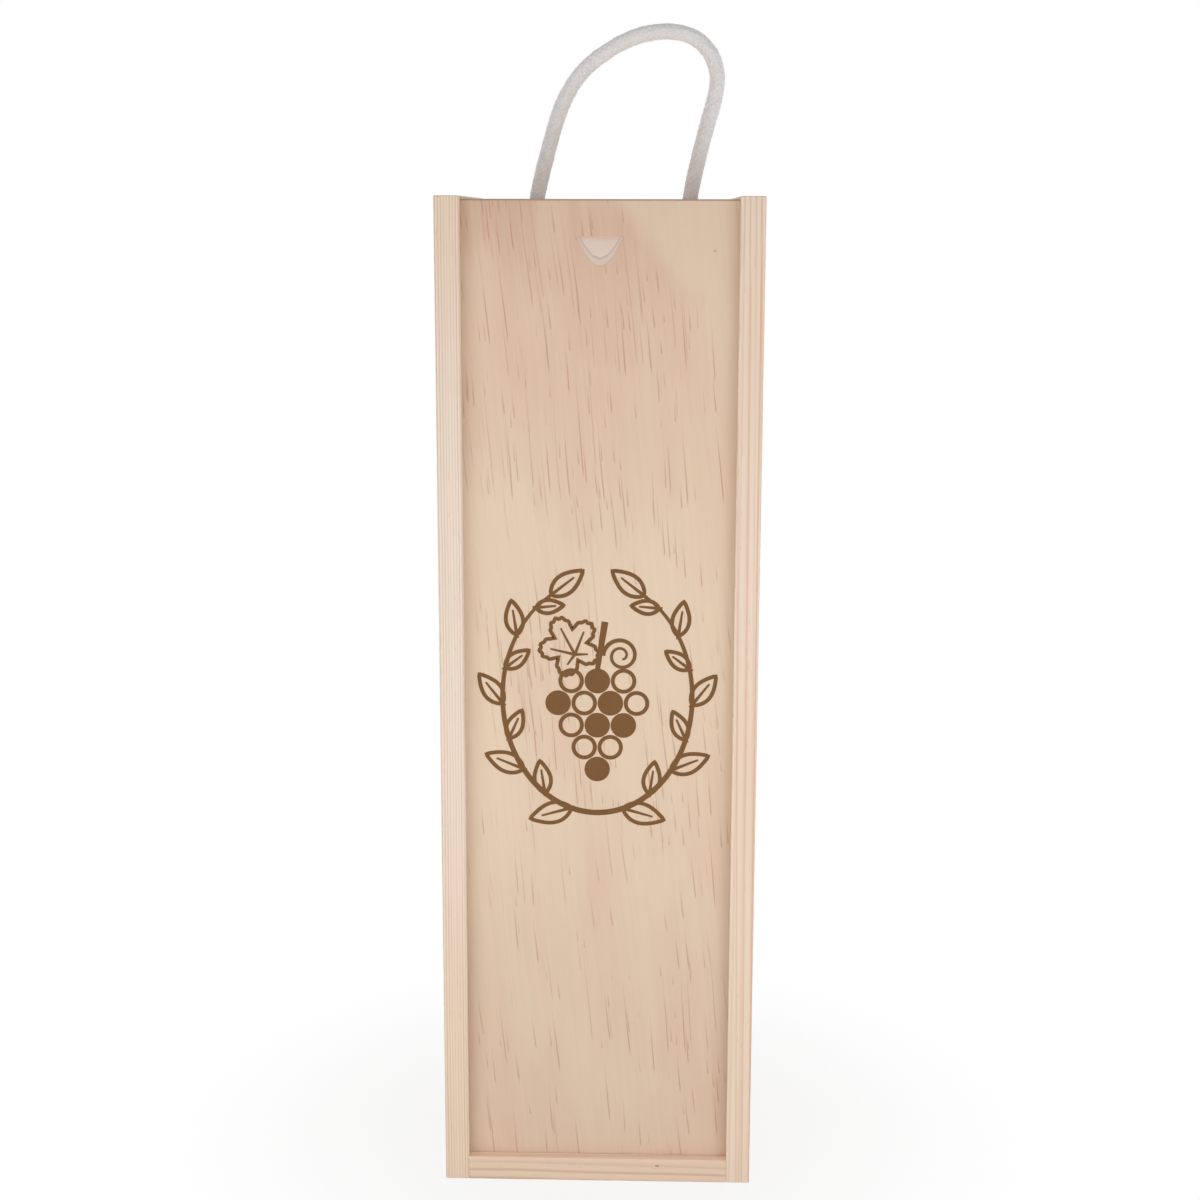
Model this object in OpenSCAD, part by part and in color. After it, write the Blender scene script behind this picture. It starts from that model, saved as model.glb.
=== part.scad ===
// Wooden box for one wine bottle, standing on its foot with the sliding lid in front.
// Two grooved side boards, a head board and a foot board between them, a thin back panel
// let into rebates of the side boards, a plywood lid that slides up and out, and a rope handle
// whose two ends are knotted under the head board.
// Origin: the centre of the underside. X runs across the box, -Y is the lid's side, Z is up.

/* [Box] */
// Width over both side boards
box_w = 110; // [100:1:130]
// Depth from the lid's side to the back
box_d = 100; // [90:1:125]
// Height of the side boards
box_h = 350; // [330:1:400]
// Thickness of the side boards
side_t = 8.5; // [7.5:0.5:11]
// Thickness of the head and foot boards
end_t = 8.5; // [7.5:0.5:11]
// How far the head board stands below the tops of the side boards
head_drop = 1; // [0:0.5:4]
// Width of the eased edges of the boards
arris = 0.5; // [0.2:0.1:1]

/* [Lid] */
// Thickness of the plywood lid
lid_t = 4; // [3:0.5:5]
// Play of the lid across its grooves' width
lid_play = 0.4; // [0.2:0.1:0.8]
// Gap at each long edge of the lid, inside its groove
lid_side_gap = 0.5; // [0.3:0.1:1]
// Depth of the lid's grooves in the side boards and the foot board
groove_deep = 4; // [3:0.5:5]
// Wood left in front of the lid's grooves
front_lip = 4.4; // [3:0.2:6]
// How far the lid's top edge stands below the tops of the side boards
lid_drop = 1.2; // [0.4:0.2:4]
// Gap between the lid's back and the head board
head_gap = 0.3; // [0.2:0.1:0.8]

/* [Thumb notch] */
// Width of the notch at its straight upper edge
notch_w = 16; // [12:1:24]
// Height of the notch
notch_h = 10; // [7:1:16]
// Depth of the notch at its upper edge
notch_deep = 2.4; // [1.5:0.1:2.8]
// Distance from the lid's top edge down to the notch
notch_drop = 12; // [8:1:30]

/* [Back] */
// Thickness of the back panel
back_t = 4; // [3:0.5:5]
// Width of the rebates in the side boards that hold the back panel
rebate_w = 4; // [3.5:0.5:5]
// Gap at each long edge of the back panel, in its rebate
back_gap = 0.2; // [0.1:0.1:0.5]

/* [Brads and pins] */
// Shank diameter of the brads in the corners
brad_d = 1.4; // [1.2:0.1:1.8]
// Length of the brads, head included
brad_len = 22; // [16:1:26]
// Distance of the brads from the front and the back
brad_inset = 24; // [18:1:32]
// Shank diameter of the pins in the back panel
pin_d = 1; // [0.8:0.1:1.2]
// Length of the pins, head included
pin_len = 12; // [9:1:16]
// Pins up each long edge of the back panel
pin_rows = 4; // [2:1:6]
// Distance of the outer pins from the ends of the back panel
pin_inset = 26; // [15:1:60]
// Clearance round the brads and pins in their holes
nail_fit = 0.04; // [0.02:0.01:0.08]

/* [Rope] */
// Diameter of the rope
rope_d = 5.3; // [4.5:0.1:6]
// How much wider than the rope its holes are drilled
rope_hole_slack = 2.7; // [2.4:0.1:4]
// Distance between the two rope holes
rope_span = 54; // [44:1:60]
// How far right of the box's middle the pair of holes is drilled
rope_shift = 3; // [-4:0.5:4]
// Share of its diameter that the rope keeps where the knot squeezes it
knot_squeeze = 0.83; // [0.75:0.01:0.9]
// Gap between the strands of a knot
knot_gap = 0.5; // [0.45:0.05:0.8]
// Gap between a knot and the head board
knot_seat_gap = 0.3; // [0.1:0.1:0.5]
// Length of the tail that hangs out of each knot
knot_tail = 9; // [5:1:14]

/* [Hidden] */
$fn = 48;

CREAM_PINE = [0.90, 0.82, 0.74];
ROSY_PINE = [0.90, 0.80, 0.72];
END_PINE = [0.86, 0.75, 0.67];
PLYWOOD = [0.87, 0.76, 0.66];
ROPE = [0.83, 0.81, 0.79];
STEEL = [0.62, 0.62, 0.63];

// Overshoot of a cut past the face that it starts from
cut = 1;

// Places across the box
inner_w = box_w - 2 * side_t;
side_in = inner_w / 2;
front = -box_d / 2;
back = box_d / 2;

// The lid and its grooves
groove_w = lid_t + lid_play;
groove_front = front + front_lip;
lid_w = inner_w + 2 * groove_deep - 2 * lid_side_gap;
lid_front = groove_front + lid_play / 2;
lid_back = lid_front + lid_t;
lid_bottom = end_t - groove_deep;
lid_top = box_h - lid_drop;

// The notch is part of a cone that stands upright in front of the lid
notch_r = (pow(notch_w / 2, 2) + pow(notch_deep, 2)) / (2 * notch_deep);
notch_top = lid_top - notch_drop;

// The head board
head_front = lid_back + head_gap;
head_top = box_h - head_drop;
head_under = head_top - end_t;

// The back panel: in the side boards' rebates, and over the back edges of the head and foot boards
back_seat = back - back_t;
panel_w = inner_w + 2 * rebate_w - 2 * back_gap;
panel_h = head_top;

// Heads and points of the brads and pins, as shares of the shank's diameter
HEAD_WIDE = 1.7;
HEAD_TALL = 0.6;
POINT_LONG = 1.6;
POINT_BLUNT = 0.16;

// Where the brads sit: one fore and one aft in each corner, at mid-thickness of the end boards
brad_ys = [front + brad_inset, back - brad_inset];
brad_zs = [end_t / 2, head_under + end_t / 2];

// Where the pins sit: up the middle of both rebates, and into the head and foot boards
pin_edge = side_in + rebate_w / 2;
pin_step = (panel_h - 2 * pin_inset) / (pin_rows - 1);
pin_places = [
    for (x = [-pin_edge, pin_edge], i = [0:pin_rows - 1]) [x, pin_inset + i * pin_step],
    for (x = [-inner_w / 4, inner_w / 4], z = brad_zs) [x, z]
];

// The rope's holes
rope_hole_d = rope_d + rope_hole_slack;
hole_left = rope_shift - rope_span / 2;
hole_right = rope_shift + rope_span / 2;

// The rope's route above the head board, as [across, up], drawn for holes at -24 and 30
drawn_shift = 3;
drawn_span = 54;
rope_route = [
    [-23.6, 0], [-21.8, 8.5], [-19.8, 16.5], [-17.3, 25], [-14.4, 33], [-10.9, 39.5], [-6.4, 45], [-0.5, 49.8],
    [6, 53.6], [13, 56.3], [20.5, 57.6], [27.4, 57], [33.4, 54.2], [37.6, 49.3], [39.5, 43.4],
    [39.3, 37.4], [38, 31.5], [36.3, 25.5], [34.6, 19.5], [32.4, 10], [30.5, 0]
];
// Height of the rope's straight start above the underside of the head board
rope_start = 2.5;

// The shape of a knot, in strand pitches: half the distance between the two strands of its core,
// the half-axes, rise, first angle and points of the wrap round them, and the elbow by which the
// standing strand leaves the core, as [out, aside, down] from the wrap's foot
CORE = 0.5;
WRAP_X = 2;
WRAP_Y = 1.7;
WRAP_RISE = 1.35;
WRAP_FROM = 40;
WRAP_POINTS = 12;
ELBOW = [[0.5, 0, 0.25], [0.65, 0, 0.75], [1.3, 0.2, 1], [1.7, 0.75, 0.7]];
// Where the core's straight strands begin, below the wrap's upper end
CORE_INSET = 0.35;
// Points along each straight strand
LEAD_POINTS = 4;
// Stretches of a knot that are this far apart along the rope count as different strands
APART = 1.45;
knot_turn_left = 0;
knot_turn_right = -25;

// Sides of the rope's tubes and steps of the knots' curve between two of its points
ROPE_SIDES = 10;
KNOT_SIDES = 8;
KNOT_STEPS = 3;

// ---- curves and tubes ----

function unit(v) = v / norm(v);

// One point of a uniform cubic B-spline, at share t from the second to the third of four points
function spline_at(a, b, c, d, t) =
    (pow(1 - t, 3) * a + (3 * pow(t, 3) - 6 * t * t + 4) * b
        + (-3 * pow(t, 3) + 3 * t * t + 3 * t + 1) * c + pow(t, 3) * d) / 6;

// The whole spline, from the first point to the last
function smooth(pts, steps) =
    let (
        n = len(pts),
        ext = concat([2 * pts[0] - pts[1]], pts, [2 * pts[n - 1] - pts[n - 2]])
    )
    concat(
        [for (i = [0:n - 2], k = [0:steps - 1])
            spline_at(ext[i], ext[i + 1], ext[i + 2], ext[i + 3], k / steps)],
        [pts[n - 1]]
    );

// Direction of a path at each of its points
function tangents(path) =
    let (n = len(path))
    [for (i = [0:n - 1]) unit(path[min(i + 1, n - 1)] - path[max(i - 1, 0)])];

// What is left of v across the direction t
function across(v, t) = unit(v - (v * t) * t);

// A direction across the path at each point, turning as little as it can
function carried(ts, start) =
    [for (i = 0, v = across(start, ts[0]); i < len(ts);
        i = i + 1, v = i < len(ts) ? across(v, ts[i]) : v) v];

// A closed round tube along a path, with a radius for each point
module tube(path, radii, sides) {
    ts = tangents(path);
    us = carried(ts, [0, 1, 0]);
    n = len(path);
    points = [for (i = [0:n - 1], k = [0:sides - 1])
        let (a = 360 * k / sides)
        path[i] + radii[i] * (cos(a) * us[i] + sin(a) * cross(ts[i], us[i]))];
    walls = [for (i = [0:n - 2], k = [0:sides - 1], half = [0, 1])
        let (
            a = i * sides + k,
            b = i * sides + (k + 1) % sides
        )
        half == 0 ? [a, a + sides, b + sides] : [a, b + sides, b]];
    first = [for (k = [1:sides - 2]) [0, k, k + 1]];
    last = [for (k = [1:sides - 2]) [(n - 1) * sides, (n - 1) * sides + k + 1, (n - 1) * sides + k]];
    polyhedron(points = points, faces = concat(first, walls, last), convexity = 8);
}

// Distance along a path from its start to each point
function along(path) =
    [for (i = 0, s = 0; i < len(path);
        i = i + 1, s = i < len(path) ? s + norm(path[i] - path[i - 1]) : s) s];

// Least distance between two stretches of a path that are further apart along it than `apart`
function least_gap(path, apart) =
    let (s = along(path))
    min([for (i = [0:len(path) - 1], j = [i + 1:1:len(path) - 1])
        if (s[j] - s[i] > apart) norm(path[i] - path[j])]);

// ---- boards ----

// Outline of a side board seen from above, for the right-hand board: inner face at x = 0
module side_profile() {
    g = groove_front;
    polygon([
        [arris, front], [side_t - arris, front], [side_t, front + arris],
        [side_t, back - arris], [side_t - arris, back],
        [rebate_w, back], [rebate_w, back_seat], [0, back_seat],
        [0, g + groove_w], [groove_deep, g + groove_w], [groove_deep, g], [0, g],
        [0, front + arris]
    ]);
}

// A right-hand side board with the holes for its brads and its pins
module side_board() {
    difference() {
        translate([side_in, 0, 0])
            linear_extrude(height = box_h)
                side_profile();
        brad_holes();
        pin_holes();
    }
}

module side_left() {
    color(CREAM_PINE)
        mirror([1, 0, 0])
            side_board();
}

module side_right() {
    color(ROSY_PINE)
        side_board();
}

// Outline of the foot board seen from the right: y across, z up
module foot_profile() {
    g = groove_front;
    polygon([
        [front + arris, 0], [back_seat, 0], [back_seat, end_t],
        [g + groove_w, end_t], [g + groove_w, lid_bottom], [g, lid_bottom], [g, end_t],
        [front + arris, end_t], [front, end_t - arris], [front, arris]
    ]);
}

// Stands a profile drawn in y and z across the box, between the side boards
module between_sides() {
    translate([-side_in, 0, 0])
        rotate([90, 0, 90])
            linear_extrude(height = inner_w)
                children();
}

module foot_board() {
    color(END_PINE)
        difference() {
            between_sides()
                foot_profile();
            brad_holes();
            mirror([1, 0, 0])
                brad_holes();
            pin_holes();
        }
}

// Outline of the head board seen from the right
module head_profile() {
    polygon([
        [head_front, head_under], [back_seat, head_under], [back_seat, head_top],
        [head_front + arris, head_top], [head_front, head_top - arris]
    ]);
}

module head_board() {
    color(END_PINE)
        difference() {
            between_sides()
                head_profile();
            for (x = [hole_left, hole_right])
                translate([x, 0, head_under - cut])
                    cylinder(d = rope_hole_d, h = end_t + 2 * cut);
            brad_holes();
            mirror([1, 0, 0])
                brad_holes();
            pin_holes();
        }
}

module back_panel() {
    color(PLYWOOD)
        difference() {
            translate([-panel_w / 2, back_seat, 0])
                cube([panel_w, back_t, panel_h]);
            pin_holes();
        }
}

// ---- lid ----

// The thumb notch: a cone that meets the lid's face at its lower end and cuts deepest at the top
module notch() {
    translate([0, lid_front + notch_deep - notch_r, notch_top - notch_h])
        cylinder(r1 = notch_r - notch_deep, r2 = notch_r, h = notch_h, $fn = 96);
}

module sliding_lid() {
    color(PLYWOOD)
        difference() {
            translate([-lid_w / 2, lid_front, lid_bottom])
                cube([lid_w, lid_t, lid_top - lid_bottom]);
            notch();
        }
}

// ---- brads and pins ----

// A nail along +Z with its head's face at z = 0 and its point up; fit widens it into its hole
module nail(d, length, fit = 0) {
    head_r = d * HEAD_WIDE / 2 + fit;
    shank_r = d / 2 + fit;
    point = d * POINT_LONG;
    cylinder(r = head_r, h = d * HEAD_TALL + fit);
    cylinder(r = shank_r, h = length - point + fit);
    translate([0, 0, length - point + fit])
        cylinder(r1 = shank_r, r2 = d * POINT_BLUNT / 2, h = point);
}

// A nail's hole, open at the face that the head lies in
module nail_hole(d, length) {
    nail(d, length, nail_fit);
    translate([0, 0, -cut])
        cylinder(r = d * HEAD_WIDE / 2 + nail_fit, h = cut + nail_fit);
}

// Stands its children at each place of a right-hand brad, pointing in
module at_brads() {
    for (y = brad_ys, z = brad_zs)
        translate([box_w / 2, y, z])
            rotate([0, -90, 0])
                children();
}

// Stands its children at each place of a pin, pointing to the front
module at_pins() {
    for (p = pin_places)
        translate([p[0], back, p[1]])
            rotate([90, 0, 0])
                children();
}

module brad_holes() {
    at_brads()
        nail_hole(brad_d, brad_len);
}

module pin_holes() {
    at_pins()
        nail_hole(pin_d, pin_len);
}

module corner_brads() {
    color(STEEL) {
        at_brads()
            nail(brad_d, brad_len);
        mirror([1, 0, 0])
            at_brads()
                nail(brad_d, brad_len);
    }
}

module back_pins() {
    color(STEEL)
        at_pins()
            nail(pin_d, pin_len);
}

// ---- rope ----

// An overhand knot about the origin, with its standing strand coming down at x = CORE strands:
// down through the core, out by the lower elbow, round the core and up, in by the upper elbow
// and down through the core beside the standing strand. The upper elbow is the lower one turned over.
knot_d = rope_d * knot_squeeze;
strand = knot_d + knot_gap;
wrap_to = 540 - WRAP_FROM;
knot_elbow = [for (p = ELBOW) [p[0], p[1], -WRAP_RISE / 2 - p[2]] * strand];
knot_wrap = [for (i = [0:WRAP_POINTS - 1])
    let (
        share = i / (WRAP_POINTS - 1),
        a = WRAP_FROM + (wrap_to - WRAP_FROM) * share
    )
    [WRAP_X * cos(a), WRAP_Y * sin(a), WRAP_RISE * (share - 0.5)] * strand];
knot_elbow_up = [for (i = [len(ELBOW) - 1:-1:0]) let (p = knot_elbow[i]) [-p[0], p[1], -p[2]]];
knot_loop = smooth(concat(knot_elbow, knot_wrap, knot_elbow_up), KNOT_STEPS);
knot_half = max([for (p = knot_loop) p[2]]) + knot_d / 2;
knot_up = knot_half + knot_seat_gap;
knot_down = knot_half + knot_tail;
core_x = CORE * strand;
core_z = (WRAP_RISE / 2 - CORE_INSET) * strand;
knot_points = concat(
    [for (i = [0:LEAD_POINTS - 1]) [core_x, 0, knot_up - (knot_up + core_z) * i / (LEAD_POINTS - 1)]],
    knot_elbow, knot_wrap, knot_elbow_up,
    [for (i = [0:LEAD_POINTS]) [-core_x, 0, core_z - (core_z + knot_down) * i / LEAD_POINTS]]
);
knot_path = smooth(knot_points, KNOT_STEPS);
knot_radii = [for (i = [0:len(knot_path) - 1])
    i > len(knot_path) - KNOT_STEPS ? rope_d / 2 : knot_d / 2];

// A knot under the head board, its standing strand in line with the hole at x
module knot_under(x, turn) {
    color(ROPE)
        translate([x, 0, head_under - knot_up])
            rotate([0, 0, turn])
                translate([-core_x, 0, 0])
                    tube(knot_path, knot_radii, KNOT_SIDES);
}

module rope_knot_left() {
    knot_under(hole_left, knot_turn_left);
}

module rope_knot_right() {
    knot_under(hole_right, knot_turn_right);
}

// The rope from one knot to the other: up a hole, along its route and down the other hole
function rope_x(x) = rope_shift + (x - drawn_shift) * rope_span / drawn_span;
rope_path = concat(
    [[hole_left, 0, head_under], [hole_left, 0, head_under + rope_start]],
    [for (p = rope_route) [rope_x(p[0]), 0, head_top + p[1]]],
    [[hole_right, 0, head_under + rope_start], [hole_right, 0, head_under]]
);
rope_radii = [for (i = [0:len(rope_path) - 1])
    i < 2 || i > len(rope_path) - 3 ? knot_d / 2 : rope_d / 2];

module rope_handle() {
    color(ROPE)
        tube(rope_path, rope_radii, ROPE_SIDES);
}

echo(knot_least_gap = least_gap(knot_path, APART * strand) - knot_d);
echo(rope_between_knots = max(along(rope_path)), rope_in_a_knot = max(along(knot_path)));

side_left();
side_right();
head_board();
foot_board();
back_panel();
sliding_lid();
rope_handle();
rope_knot_left();
rope_knot_right();
corner_brads();
back_pins();
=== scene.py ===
"""Wooden box for one wine bottle: its looks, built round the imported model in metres.

The side boards and the foot board are profiles carried along their length, the rope is a braided
tube along its route, and the knots follow the same curve as their solids. The head board, the
back panel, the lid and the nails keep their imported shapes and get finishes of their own.
"""

import logging
import math
from collections.abc import Callable
from dataclasses import dataclass, field
from enum import Enum

import bmesh
import bpy
import numpy as np
from mathutils import Matrix


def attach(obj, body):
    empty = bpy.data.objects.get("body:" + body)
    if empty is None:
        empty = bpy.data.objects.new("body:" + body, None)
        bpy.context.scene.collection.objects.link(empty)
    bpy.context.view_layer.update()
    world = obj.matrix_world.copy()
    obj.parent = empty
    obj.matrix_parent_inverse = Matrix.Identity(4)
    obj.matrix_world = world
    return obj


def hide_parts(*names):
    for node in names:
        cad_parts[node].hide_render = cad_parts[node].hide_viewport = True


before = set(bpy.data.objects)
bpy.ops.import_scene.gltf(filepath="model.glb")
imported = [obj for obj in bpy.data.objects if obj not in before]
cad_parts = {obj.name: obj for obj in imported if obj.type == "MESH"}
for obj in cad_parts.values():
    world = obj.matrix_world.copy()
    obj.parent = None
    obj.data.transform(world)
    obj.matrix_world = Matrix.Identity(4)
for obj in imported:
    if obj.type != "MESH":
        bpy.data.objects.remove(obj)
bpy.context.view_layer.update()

LOG = logging.getLogger("wine_box")
MM = 0.001
TO_MM = 1000.0

CASE = "case"
LID = "lid"
NAIL_MIDDLE_MM = 174.5

Colour = tuple[float, float, float, float]
Pair = tuple[float, float]
Triple = tuple[float, float, float]
Spot = tuple[float, float, float, float]


def paint(red: int, green: int, blue: int) -> Colour:
    """A colour written as it looks on a screen, turned into the linear numbers of a shader.

    Args:
        red: 0 to 255.
        green: 0 to 255.
        blue: 0 to 255.

    Returns:
        Linear red, green and blue, and 1.
    """
    seen = np.array([red, green, blue]) / 255
    straight = np.where(seen <= 0.04045, seen / 12.92, ((seen + 0.055) / 1.055) ** 2.4)
    return (*[float(c) for c in straight], 1.0)


# ---------------------------------------------------------------- surfaces


def ripple(seed: int, *places: np.ndarray, waves: int = 10) -> np.ndarray:
    """Smooth random heights of about -1 to 1.

    The sum of sines of random direction and phase, with wavelengths of 0.6 to 2.5 units.

    Args:
        seed: picks the waves.
        places: one array for each direction, in units of the mean wavelength.
        waves: how many sines are added.

    Returns:
        An array of the places' shape.
    """
    draw = np.random.default_rng(seed)
    lengths = draw.uniform(0.6, 2.5, waves)
    ways = unit(draw.normal(size=(waves, len(places))))
    phases = draw.uniform(0, 2 * math.pi, waves)
    stack = np.stack(np.broadcast_arrays(*places), axis=-1)
    turns = stack @ (ways / lengths[:, None]).T * 2 * math.pi + phases
    return np.sin(turns).sum(axis=-1) / math.sqrt(waves / 2) / 1.6


def unit(ways: np.ndarray) -> np.ndarray:
    """The same directions, each of length 1."""
    return ways / np.linalg.norm(ways, axis=-1, keepdims=True)


def circle(turn: np.ndarray) -> np.ndarray:
    """The points of a circle of radius 1 at these angles."""
    return np.stack([np.cos(turn), np.sin(turn)], axis=-1)


def grid_quads(rows: int, columns: int, ring_rows: bool, ring_columns: bool) -> np.ndarray:
    """The four corners of each face of a grid of points, row by row.

    Args:
        rows: points along.
        columns: points across.
        ring_rows: whether the last row meets the first.
        ring_columns: whether the last column meets the first.

    Returns:
        An array (faces, 4, 2) of row and column, not yet wrapped at the ends.
    """
    r, c = np.meshgrid(
        np.arange(rows if ring_rows else rows - 1),
        np.arange(columns if ring_columns else columns - 1),
        indexing="ij",
    )
    corners = np.array([[0, 0], [1, 0], [1, 1], [0, 1]])
    return np.stack([r.ravel(), c.ravel()], axis=1)[:, None, :] + corners


def grid_faces(corners: np.ndarray, rows: int, columns: int, start: int = 0) -> np.ndarray:
    """The point numbers of a grid's faces, wrapped at its ends and counted from a first number."""
    return (corners[..., 0] % rows) * columns + corners[..., 1] % columns + start


def end_faces(rows: int, columns: int, start: int = 0) -> list[list[int]]:
    """A face that closes the first row of a grid and one that closes its last."""
    return [[start + row * columns + k for k in range(columns)] for row in (0, rows - 1)]


def new_piece(name: str, points: np.ndarray, faces: list[list[int]]) -> bpy.types.Object:
    """Puts points and faces into a mesh, in an object at the origin.

    Args:
        name: the piece's name.
        points: (n, 3) in metres.
        faces: lists of point numbers.

    Returns:
        The object, linked to the scene.
    """
    mesh = bpy.data.meshes.new(name)
    mesh.from_pydata(points.tolist(), [], faces)
    piece = bpy.data.objects.new(name, mesh)
    bpy.context.scene.collection.objects.link(piece)
    return piece


def face_out(piece: bpy.types.Object, smooth_below: float) -> None:
    """Turns the faces of a closed piece outwards and smooths its gentle edges.

    Args:
        piece: the object.
        smooth_below: edges flatter than this angle, in degrees, are shaded smooth.
    """
    shape = bmesh.new()
    shape.from_mesh(piece.data)
    bmesh.ops.recalc_face_normals(shape, faces=shape.faces)
    shape.to_mesh(piece.data)
    shape.free()
    piece.data.shade_smooth()
    piece.data.set_sharp_from_angle(angle=math.radians(smooth_below))


def grid_piece(
    name: str, grid: np.ndarray, skin: np.ndarray | None = None, smooth_below: float = 35.0
) -> bpy.types.Object:
    """A closed piece whose surface is a grid of points: a tube of any section, with flat ends.

    Args:
        name: the piece's name.
        grid: (rows, columns, 3) in metres.
        skin: (rows, columns + 1, 2), each point's place on the flat skin, for the UV map.
        smooth_below: edges flatter than this angle, in degrees, are shaded smooth.

    Returns:
        The object.
    """
    rows, columns = grid.shape[:2]
    corners = grid_quads(rows, columns, False, True)
    quads = grid_faces(corners, rows, columns)
    piece = new_piece(name, grid.reshape(-1, 3), quads.tolist() + end_faces(rows, columns))
    if skin is not None:
        layer = piece.data.uv_layers.new(name="UV")
        flat = np.zeros((len(piece.data.loops), 2))
        flat[: quads.size] = skin[corners[..., 0], corners[..., 1]].reshape(-1, 2)
        layer.data.foreach_set("uv", flat.ravel())
    face_out(piece, smooth_below)
    return piece


def note(piece: bpy.types.Object, name: str, values: np.ndarray) -> None:
    """Gives each point of a piece a number that its finish reads.

    Args:
        piece: the object.
        name: the attribute's name.
        values: one number for each point.
    """
    layer = piece.data.attributes.new(name, "FLOAT", "POINT")
    layer.data.foreach_set("value", values.astype(np.float32).ravel())


def eased_outline(corners: np.ndarray, radii: np.ndarray, inset: np.ndarray, steps: int = 4) -> np.ndarray:
    """An outline of square corners, drawn in and with its corners eased, for each of several rows.

    Drawing in moves each corner c by the inset along the inward normals of both its edges. It
    then becomes the curve (1-t)^2 a + 2t(1-t) c + t^2 b, where a and b lie on the two edges at
    the radius from c. A point on each edge just past the curve keeps the flat beyond it flat.

    Args:
        corners: (n, 2), counter-clockwise.
        radii: (rows, n), the easing of each corner in each row.
        inset: (rows,), how far each row's outline is drawn in.
        steps: stretches of each curve.

    Returns:
        (rows, n * (steps + 3), 2).
    """
    hold = 1.35
    before = unit(np.roll(corners, 1, axis=0) - corners)
    after = unit(np.roll(corners, -1, axis=0) - corners)
    inward = np.stack([before[:, 1] - after[:, 1], after[:, 0] - before[:, 0]], axis=1)
    moved = (corners + inset[:, None, None] * inward)[:, :, None]
    size = radii[:, :, None, None]
    before, after = before[:, None], after[:, None]
    t = np.linspace(0, 1, steps + 1)[None, None, :, None]
    bend = moved + size * ((1 - t) ** 2 * before + t**2 * after)
    first = moved + hold * size * before
    last = moved + hold * size * after
    return np.concatenate([first, bend, last], axis=2).reshape(len(radii), -1, 2)


class Curve(Enum):
    """How a curve follows its points: the weights of four in a row, for 1, t, t^2 and t^3."""

    NEAR = ((1, -3, 3, -1), (4, 0, -6, 3), (1, 3, 3, -3), (0, 0, 0, 1)), 6
    THROUGH = ((0, -1, 2, -1), (2, 0, -5, 3), (0, 1, 4, -3), (0, 0, -1, 1)), 2


def curve(points: np.ndarray, steps: int, kind: Curve) -> np.ndarray:
    """A cubic curve: a uniform B-spline near its points, or a Catmull-Rom curve through them.

    Args:
        points: (n, 3).
        steps: points of the curve for each stretch between two points.
        kind: which of the two.

    Returns:
        ((n - 1) * steps + 1, 3).
    """
    table, total = kind.value
    powers = (np.arange(steps) / steps) ** np.arange(4)[:, None]
    weights = np.array(table) / total @ powers
    longer = np.vstack([2 * points[0] - points[1], points, 2 * points[-1] - points[-2]])
    fours = np.stack([longer[k : len(points) - 1 + k] for k in range(4)])
    body = np.einsum("ks,knc->nsc", weights, fours)
    return np.vstack([body.reshape(-1, 3), points[-1:]])


def evenly(path: np.ndarray, step: float) -> np.ndarray:
    """The same path with points at even distances along it.

    Args:
        path: (n, 3).
        step: the wanted distance, in metres.

    Returns:
        (m, 3).
    """
    run = lengths_along(path)
    places = np.linspace(0, run[-1], max(2, int(round(run[-1] / step)) + 1))
    return np.stack([np.interp(places, run, path[:, k]) for k in range(path.shape[1])], axis=1)


def lengths_along(path: np.ndarray) -> np.ndarray:
    """Distance along a path from its start to each of its points."""
    return np.concatenate([[0], np.cumsum(np.linalg.norm(np.diff(path, axis=0), axis=1))])


def frames_along(path: np.ndarray, start: np.ndarray) -> tuple[np.ndarray, np.ndarray]:
    """Two directions across a path at each of its points, turning as little as they can.

    Args:
        path: (n, 3).
        start: a direction that isn't along the path's start.

    Returns:
        Two arrays (n, 3), square to the path and to each other.
    """
    ahead = unit(np.gradient(path, axis=0))
    across = np.empty_like(ahead)
    held = start
    for row, way in enumerate(ahead):
        held = unit(held - (held @ way) * way)
        across[row] = held
    return across, np.cross(ahead, across)


def tube_grid(path: np.ndarray, radii: np.ndarray, start: np.ndarray) -> np.ndarray:
    """A tube's surface: each point lies at its radius from the path, straight across it.

    Args:
        path: (rows, 3).
        radii: (rows, columns).
        start: a direction across the path at its start, where the first column lies.

    Returns:
        (rows, columns, 3).
    """
    side, up = frames_along(path, start)
    ring = circle(np.linspace(0, 2 * math.pi, radii.shape[1], endpoint=False))
    return path[:, None] + radii[..., None] * (ring @ np.stack([side, up], axis=1))


# ---------------------------------------------------------------- wiring of finishes


def arithmetic(operation: str, swapped: bool = False) -> "Callable[..., Wire]":
    """A method of Wire for one operation of the math node.

    Args:
        operation: the node's operation.
        swapped: whether the other number comes first.

    Returns:
        The method; its other number can be left out where the operation takes only one.
    """

    def method(wire: "Wire", other: "Wire | float" = 0.0) -> "Wire":
        """The operation's result, as a new wire."""
        first, second = (other, wire) if swapped else (wire, other)
        return wire.graph.math(operation, first, second)

    return method


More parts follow.
